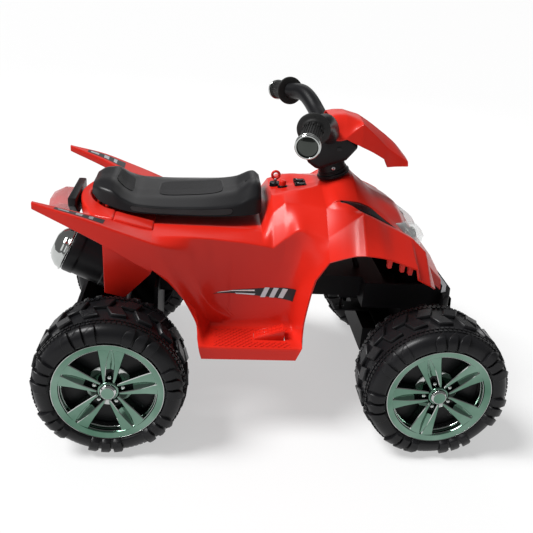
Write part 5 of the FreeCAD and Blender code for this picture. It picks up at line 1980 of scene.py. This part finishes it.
@dataclass
class Controls:
    """Key, push button and rockers on the tank, and the foot pedal.

    Attributes:
        key: x, y and face height of the key switch.
        key_base: (radius, height) profile of the key switch.
        bow: Radius of the key's ring bow and of its wire.
        button: x, y and face height of the push button.
        bezel: (radius, height) profile of its bezel.
        knob: (radius, height) profile of the button itself.
        rockers: x and the two y places of the rocker switches.
        rocker_face: Height of the rocker housings.
        housing_size: Half length, half width, rim, pocket depth and skirt depth of a rocker housing.
        rocker_z: Height of the rockers' axis.
        rocker_half: Half width of a rocker.
        pedal: (x, z) outline of the pedal.
        pedal_y: Outer and inner y of the pedal.
    """

    key: Triple = (0, .012, .5045)
    key_base: Outline = (
        (.0032, -.02), (.013, -.02), (.013, -.0008), (.0118, 0), (.009, 0), (.0085, -.0012), (.0032, -.0012))
    bow: Pair = (.0082, .0031)
    button: Triple = (.014, -.013, .506)
    bezel: Outline = ((.0081, -.02), (.011, -.02), (.011, -.001), (.0102, 0), (.0081, 0))
    knob: Outline = ((0, -.012), (.008, -.012), (.008, .009), (.0065, .0113), (0, .012))
    rockers: Triple = (.055, .014, -.014)
    rocker_face: float = .512
    housing_size: Sizes = (.013, .0095, .0026, .012, .02)
    rocker_z: float = .509
    rocker_half: float = .0062
    pedal: Outline = ((-.0445, .2095), (-.0445, .2255), (.02, .246), (.02, .2095))
    pedal_y: Pair = (-.222, -.19)

    def build(self) -> None:
        """Builds the switches and the pedal."""
        base, bezel = fillet(self.key_base, .0006, 2), fillet(self.bezel, .0006, 2)
        Piece("key_switch", Body.FRAME, [BLACK_GLOSS]).place(turned(base, Vector(self.key), UP, 40))
        Piece("key", Body.KEY, [RED, STEEL]).place(self.key_blade())
        Piece("button_bezel", Body.FRAME, [BLACK_GLOSS]).place(turned(bezel, Vector(self.button), UP, 40))
        Piece("push_button", Body.BUTTON, [RED]).place(turned(fillet(self.knob, .0012), Vector(self.button), UP, 40))
        bm = bmesh.new()
        for y in self.rockers[1:]:
            join(bm, self.housing(y))
        Piece("rocker_housings", Body.FRAME, [BLACK]).place(bm)
        for name, body, y in (("rocker_left", Body.ROCKER_LEFT, self.rockers[1]),
                              ("rocker_right", Body.ROCKER_RIGHT, self.rockers[2])):
            Piece(name, body, [BLACK_GLOSS, DECAL_WHITE]).place(self.rocker(y))
        Piece("foot_pedal", Body.PEDAL, [RED]).place(self.wedge())

    def key_blade(self) -> Mesh:
        """Key with a ring bow on a plated blade.

        Returns:
            The mesh.
        """
        x, y, face = self.key
        centre = Vector((x, y, face + .017))
        radius, wire = self.bow
        outs = [Vector((math.sin(a), 0, math.cos(a))) for a in steps(0, 2 * math.pi, 36)[:-1]]
        rings = [[centre + out * (radius + a) + ACROSS * b for a, b in circle(wire, 10)] for out in outs]
        bm = bridged(rings, cyclic=True)
        collar = fillet([(0, -.004), (.003, -.004), (.003, .004), (.0042, .005), (.0042, .009), (0, .0105)],
                        .0008, 2)
        join(bm, turned(collar, Vector((x, y, face)), UP, 24), 1)
        return bm

    def housing(self, y: float) -> Mesh:
        """Frame of one rocker switch.

        Args:
            y: Middle of the switch across the bike.

        Returns:
            The mesh.
        """
        x = self.rockers[0]
        long, wide, rim_width, pocket_depth, skirt_depth = self.housing_size
        bm = bmesh.new()
        bmesh.ops.create_grid(bm, x_segments=1, y_segments=1, size=1.0)
        bmesh.ops.scale(bm, vec=(long, wide, 1), verts=bm.verts[:])
        bmesh.ops.translate(bm, vec=(x, y, self.rocker_face), verts=bm.verts[:])
        rim = bmesh.ops.inset_region(bm, faces=bm.faces[:], thickness=rim_width, use_boundary=True)["faces"]
        middle = [f for f in bm.faces if f not in rim]
        pocket = bmesh.ops.extrude_face_region(bm, geom=middle)["geom"]
        bmesh.ops.translate(bm, vec=UP * -pocket_depth, verts=verts_of(pocket))
        bmesh.ops.delete(bm, geom=middle, context="FACES_ONLY")
        outer = [e for f in rim for e in f.edges if e.is_boundary]
        skirt = bmesh.ops.extrude_edge_only(bm, edges=outer)["geom"]
        bmesh.ops.translate(bm, vec=UP * -skirt_depth, verts=verts_of(skirt))
        bmesh.ops.recalc_face_normals(bm, faces=bm.faces[:])
        turn_out(bm, (x, y, self.rocker_face - .03))
        return soften(bm, .0007, 2, 40)

    def rocker(self, y: float) -> Mesh:
        """Rocker key of one switch with a white dot.

        Args:
            y: Middle of the switch across the bike.

        Returns:
            The mesh.
        """
        x, z = self.rockers[0], self.rocker_z
        outline = [(-.009, .0015), (-.009, .005), (-.005, .0039), (0, .0036), (.005, .0039), (.009, .005),
                   (.009, .0015), (0, -.004)]
        bm = slab([(x + a, z + b) for a, b in outline], Axis.Y, (y - self.rocker_half, y + self.rocker_half), .0007)
        dot = turned([(0, .0002), (.0013, .0002), (.0013, -.0006)], Vector((x - .0058, y, z + .0042)),
                     Vector((.27, 0, 1)), 16)
        join(bm, dot, 1)
        return bm

    def wedge(self) -> Mesh:
        """Wedge-shaped pedal with a grid of raised ribs on its top.

        Returns:
            The mesh.
        """
        outer, inner = self.pedal_y
        bm = slab(self.pedal, Axis.Y, self.pedal_y, .0016)
        low, high = Vector((-.041, 0, .2266)), Vector((.0165, 0, .2449))
        near, far, half = outer + .003, inner - .003, .0008
        ribs = [[low.lerp(high, share) + Vector((dx, y, dz)) for dx, y, dz in
                 ((-half, near, -.0012), (half, near, -.0008), (half, far, -.0008), (-half, far, -.0012))]
                for share in steps(0, 1, 7)]
        rails = [[spot + Vector((0, y + dy, -.001)) for spot, dy in
                  ((low, -half), (high, -half), (high, half), (low, half))]
                 for y in (near, (outer + inner) / 2, far)]
        for outline in ribs + rails:
            join(bm, prism(outline, Vector((0, 0, .0022)), .0004, 1))
        return bm


@dataclass
class Undercarriage:
    """Solids of the frame that stay as they are and get their finishes here.

    Attributes:
        solids: Solids that are shown, by their finish.
    """

    solids: dict[Finish, tuple[str, ...]] = field(default_factory=lambda: {
        FRAME_BLACK: ("chassis", "knuckle_right", "knuckle_left", "tie_bar", "steering_column", "battery"),
        BLACK: ("gear_motor_right", "gear_motor_left", "column_bush", "pedal_switch"),
        STEEL: ("rear_axle", "rear_axle_nuts", "axle_nut_front_right", "axle_nut_front_left", "pedal_pin",
                "seat_hinge_pin")})

    def build(self) -> None:
        """Dresses the solids."""
        for finish, names in self.solids.items():
            for name in names:
                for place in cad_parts[name].material_slots:
                    place.material = finish.material()
                LOG.info("%s: dressed in %s", name, finish.name)


@dataclass
class Studio:
    """Pale floor, soft light and the camera.

    Attributes:
        eye: Place of the camera.
        yaw: Turn of the view to the right of straight across the bike, in radians.
        pitch: Tilt of the view below the horizon, in radians.
        roll: Turn of the view about its own axis, in radians.
        focal: Focal length in pixels of a picture of this width.
        picture: Width of the picture in pixels.
        floor_size: Half width of the floor.
        floor_grey: Brightness of the floor's colour.
        floor_glow: Light that the floor itself gives.
        sky_power: Strength of the even light from all around.
        key_from: Where the key light comes from.
        key_power: Its strength.
        key_spread: Angle of its disc, in degrees.
        lamps: Name, place, side of the square and watts of each soft lamp.
        lamp_aim: What the lamps face.
    """

    eye: Triple = (-.1767828, -1.4907107, .9732578)
    yaw: float = .1143
    pitch: float = .4243
    roll: float = -.0813
    focal: float = 683.03
    picture: float = 533.0
    floor_size: float = 80.0
    floor_grey: float = .36
    floor_glow: float = .5
    sky_power: float = .2
    key_from: Triple = (-2.0, -.4, 2.9)
    key_power: float = 4.4
    key_spread: float = 24.0
    lamps: tuple[tuple[str, Triple, float, float], ...] = (
        ("left_light", (-2.6, -1.7, 1.7), 1.6, 8), ("rim_light", (.4, 2.8, 2.4), 2.4, 14))
    lamp_aim: Triple = (0, 0, .35)

    def build(self) -> None:
        """Sets the floor, the lights, the world and the camera."""
        self.floor()
        self.sky()
        self.lights()
        self.camera()
        bpy.context.scene.view_settings.view_transform = "Standard"

    def floor(self) -> None:
        """Adds the pale floor."""
        bm = bmesh.new()
        bmesh.ops.create_grid(bm, x_segments=1, y_segments=1, size=self.floor_size)
        mesh = bpy.data.meshes.new("floor")
        bm.to_mesh(mesh)
        bm.free()
        made = bpy.data.materials.new("pale_floor")
        made.use_nodes = True
        grey = self.floor_grey
        set_inputs(made.node_tree.nodes["Principled BSDF"], {
            "Base Color": (grey, grey, grey, 1), "Roughness": .8, "Emission Color": WHITE,
            "Emission Strength": self.floor_glow})
        mesh.materials.append(made)
        floor = bpy.data.objects.new("floor", mesh)
        bpy.context.scene.collection.objects.link(floor)

    def sky(self) -> None:
        """Sets a plain bright world."""
        world = bpy.data.worlds.new("studio")
        world.use_nodes = True
        set_inputs(world.node_tree.nodes["Background"], {"Color": WHITE, "Strength": self.sky_power})
        bpy.context.scene.world = world

    def lights(self) -> None:
        """Adds the broad key light and the soft square lamps."""
        key = bpy.data.lights.new("key_light", "SUN")
        key.energy = self.key_power
        key.angle = math.radians(self.key_spread)
        self.hang(key, self.key_from, (0, 0, 0))
        for name, place, size, power in self.lamps:
            light = bpy.data.lights.new(name, "AREA")
            light.size = size
            light.energy = power
            self.hang(light, place, self.lamp_aim)

    def hang(self, light: bpy.types.Light, place: Triple, target: Triple) -> None:
        """Hangs a light at its place.

        Args:
            light: The light.
            place: Where it hangs.
            target: What it faces.
        """
        lamp = bpy.data.objects.new(light.name, light)
        lamp.location = place
        lamp.rotation_euler = (Vector(target) - Vector(place)).to_track_quat("-Z", "Y").to_euler()
        bpy.context.scene.collection.objects.link(lamp)

    def camera(self) -> None:
        """Adds the camera at the photographed angle."""
        ahead = Vector((math.sin(self.yaw) * math.cos(self.pitch), math.cos(self.yaw) * math.cos(self.pitch),
                        -math.sin(self.pitch)))
        level = Vector((math.cos(self.yaw), -math.sin(self.yaw), 0))
        down = ahead.cross(level)
        right = level * math.cos(self.roll) + down * math.sin(self.roll)
        below = down * math.cos(self.roll) - level * math.sin(self.roll)
        lens = bpy.data.cameras.new("camera")
        lens.sensor_width = 36.0
        lens.lens = self.focal / self.picture * lens.sensor_width
        camera = bpy.data.objects.new("camera", lens)
        turn = Matrix((right, -below, -ahead)).transposed().to_4x4()
        camera.matrix_world = Matrix.Translation(Vector(self.eye)) @ turn
        bpy.context.scene.collection.objects.link(camera)
        bpy.context.scene.camera = camera


def main() -> None:
    """Builds the studio and every sub-assembly, logging each one built."""
    logging.basicConfig(level=logging.INFO, format="%(name)s %(message)s")
    for assembly in (Studio(), Wheel(), BodyShell(), FrontEnd(), RearEnd(), Seat(), Steering(), Controls(),
                     Undercarriage()):
        assembly.build()
        LOG.info("built %s", type(assembly).__name__)


if __name__ == "__main__":
    main()
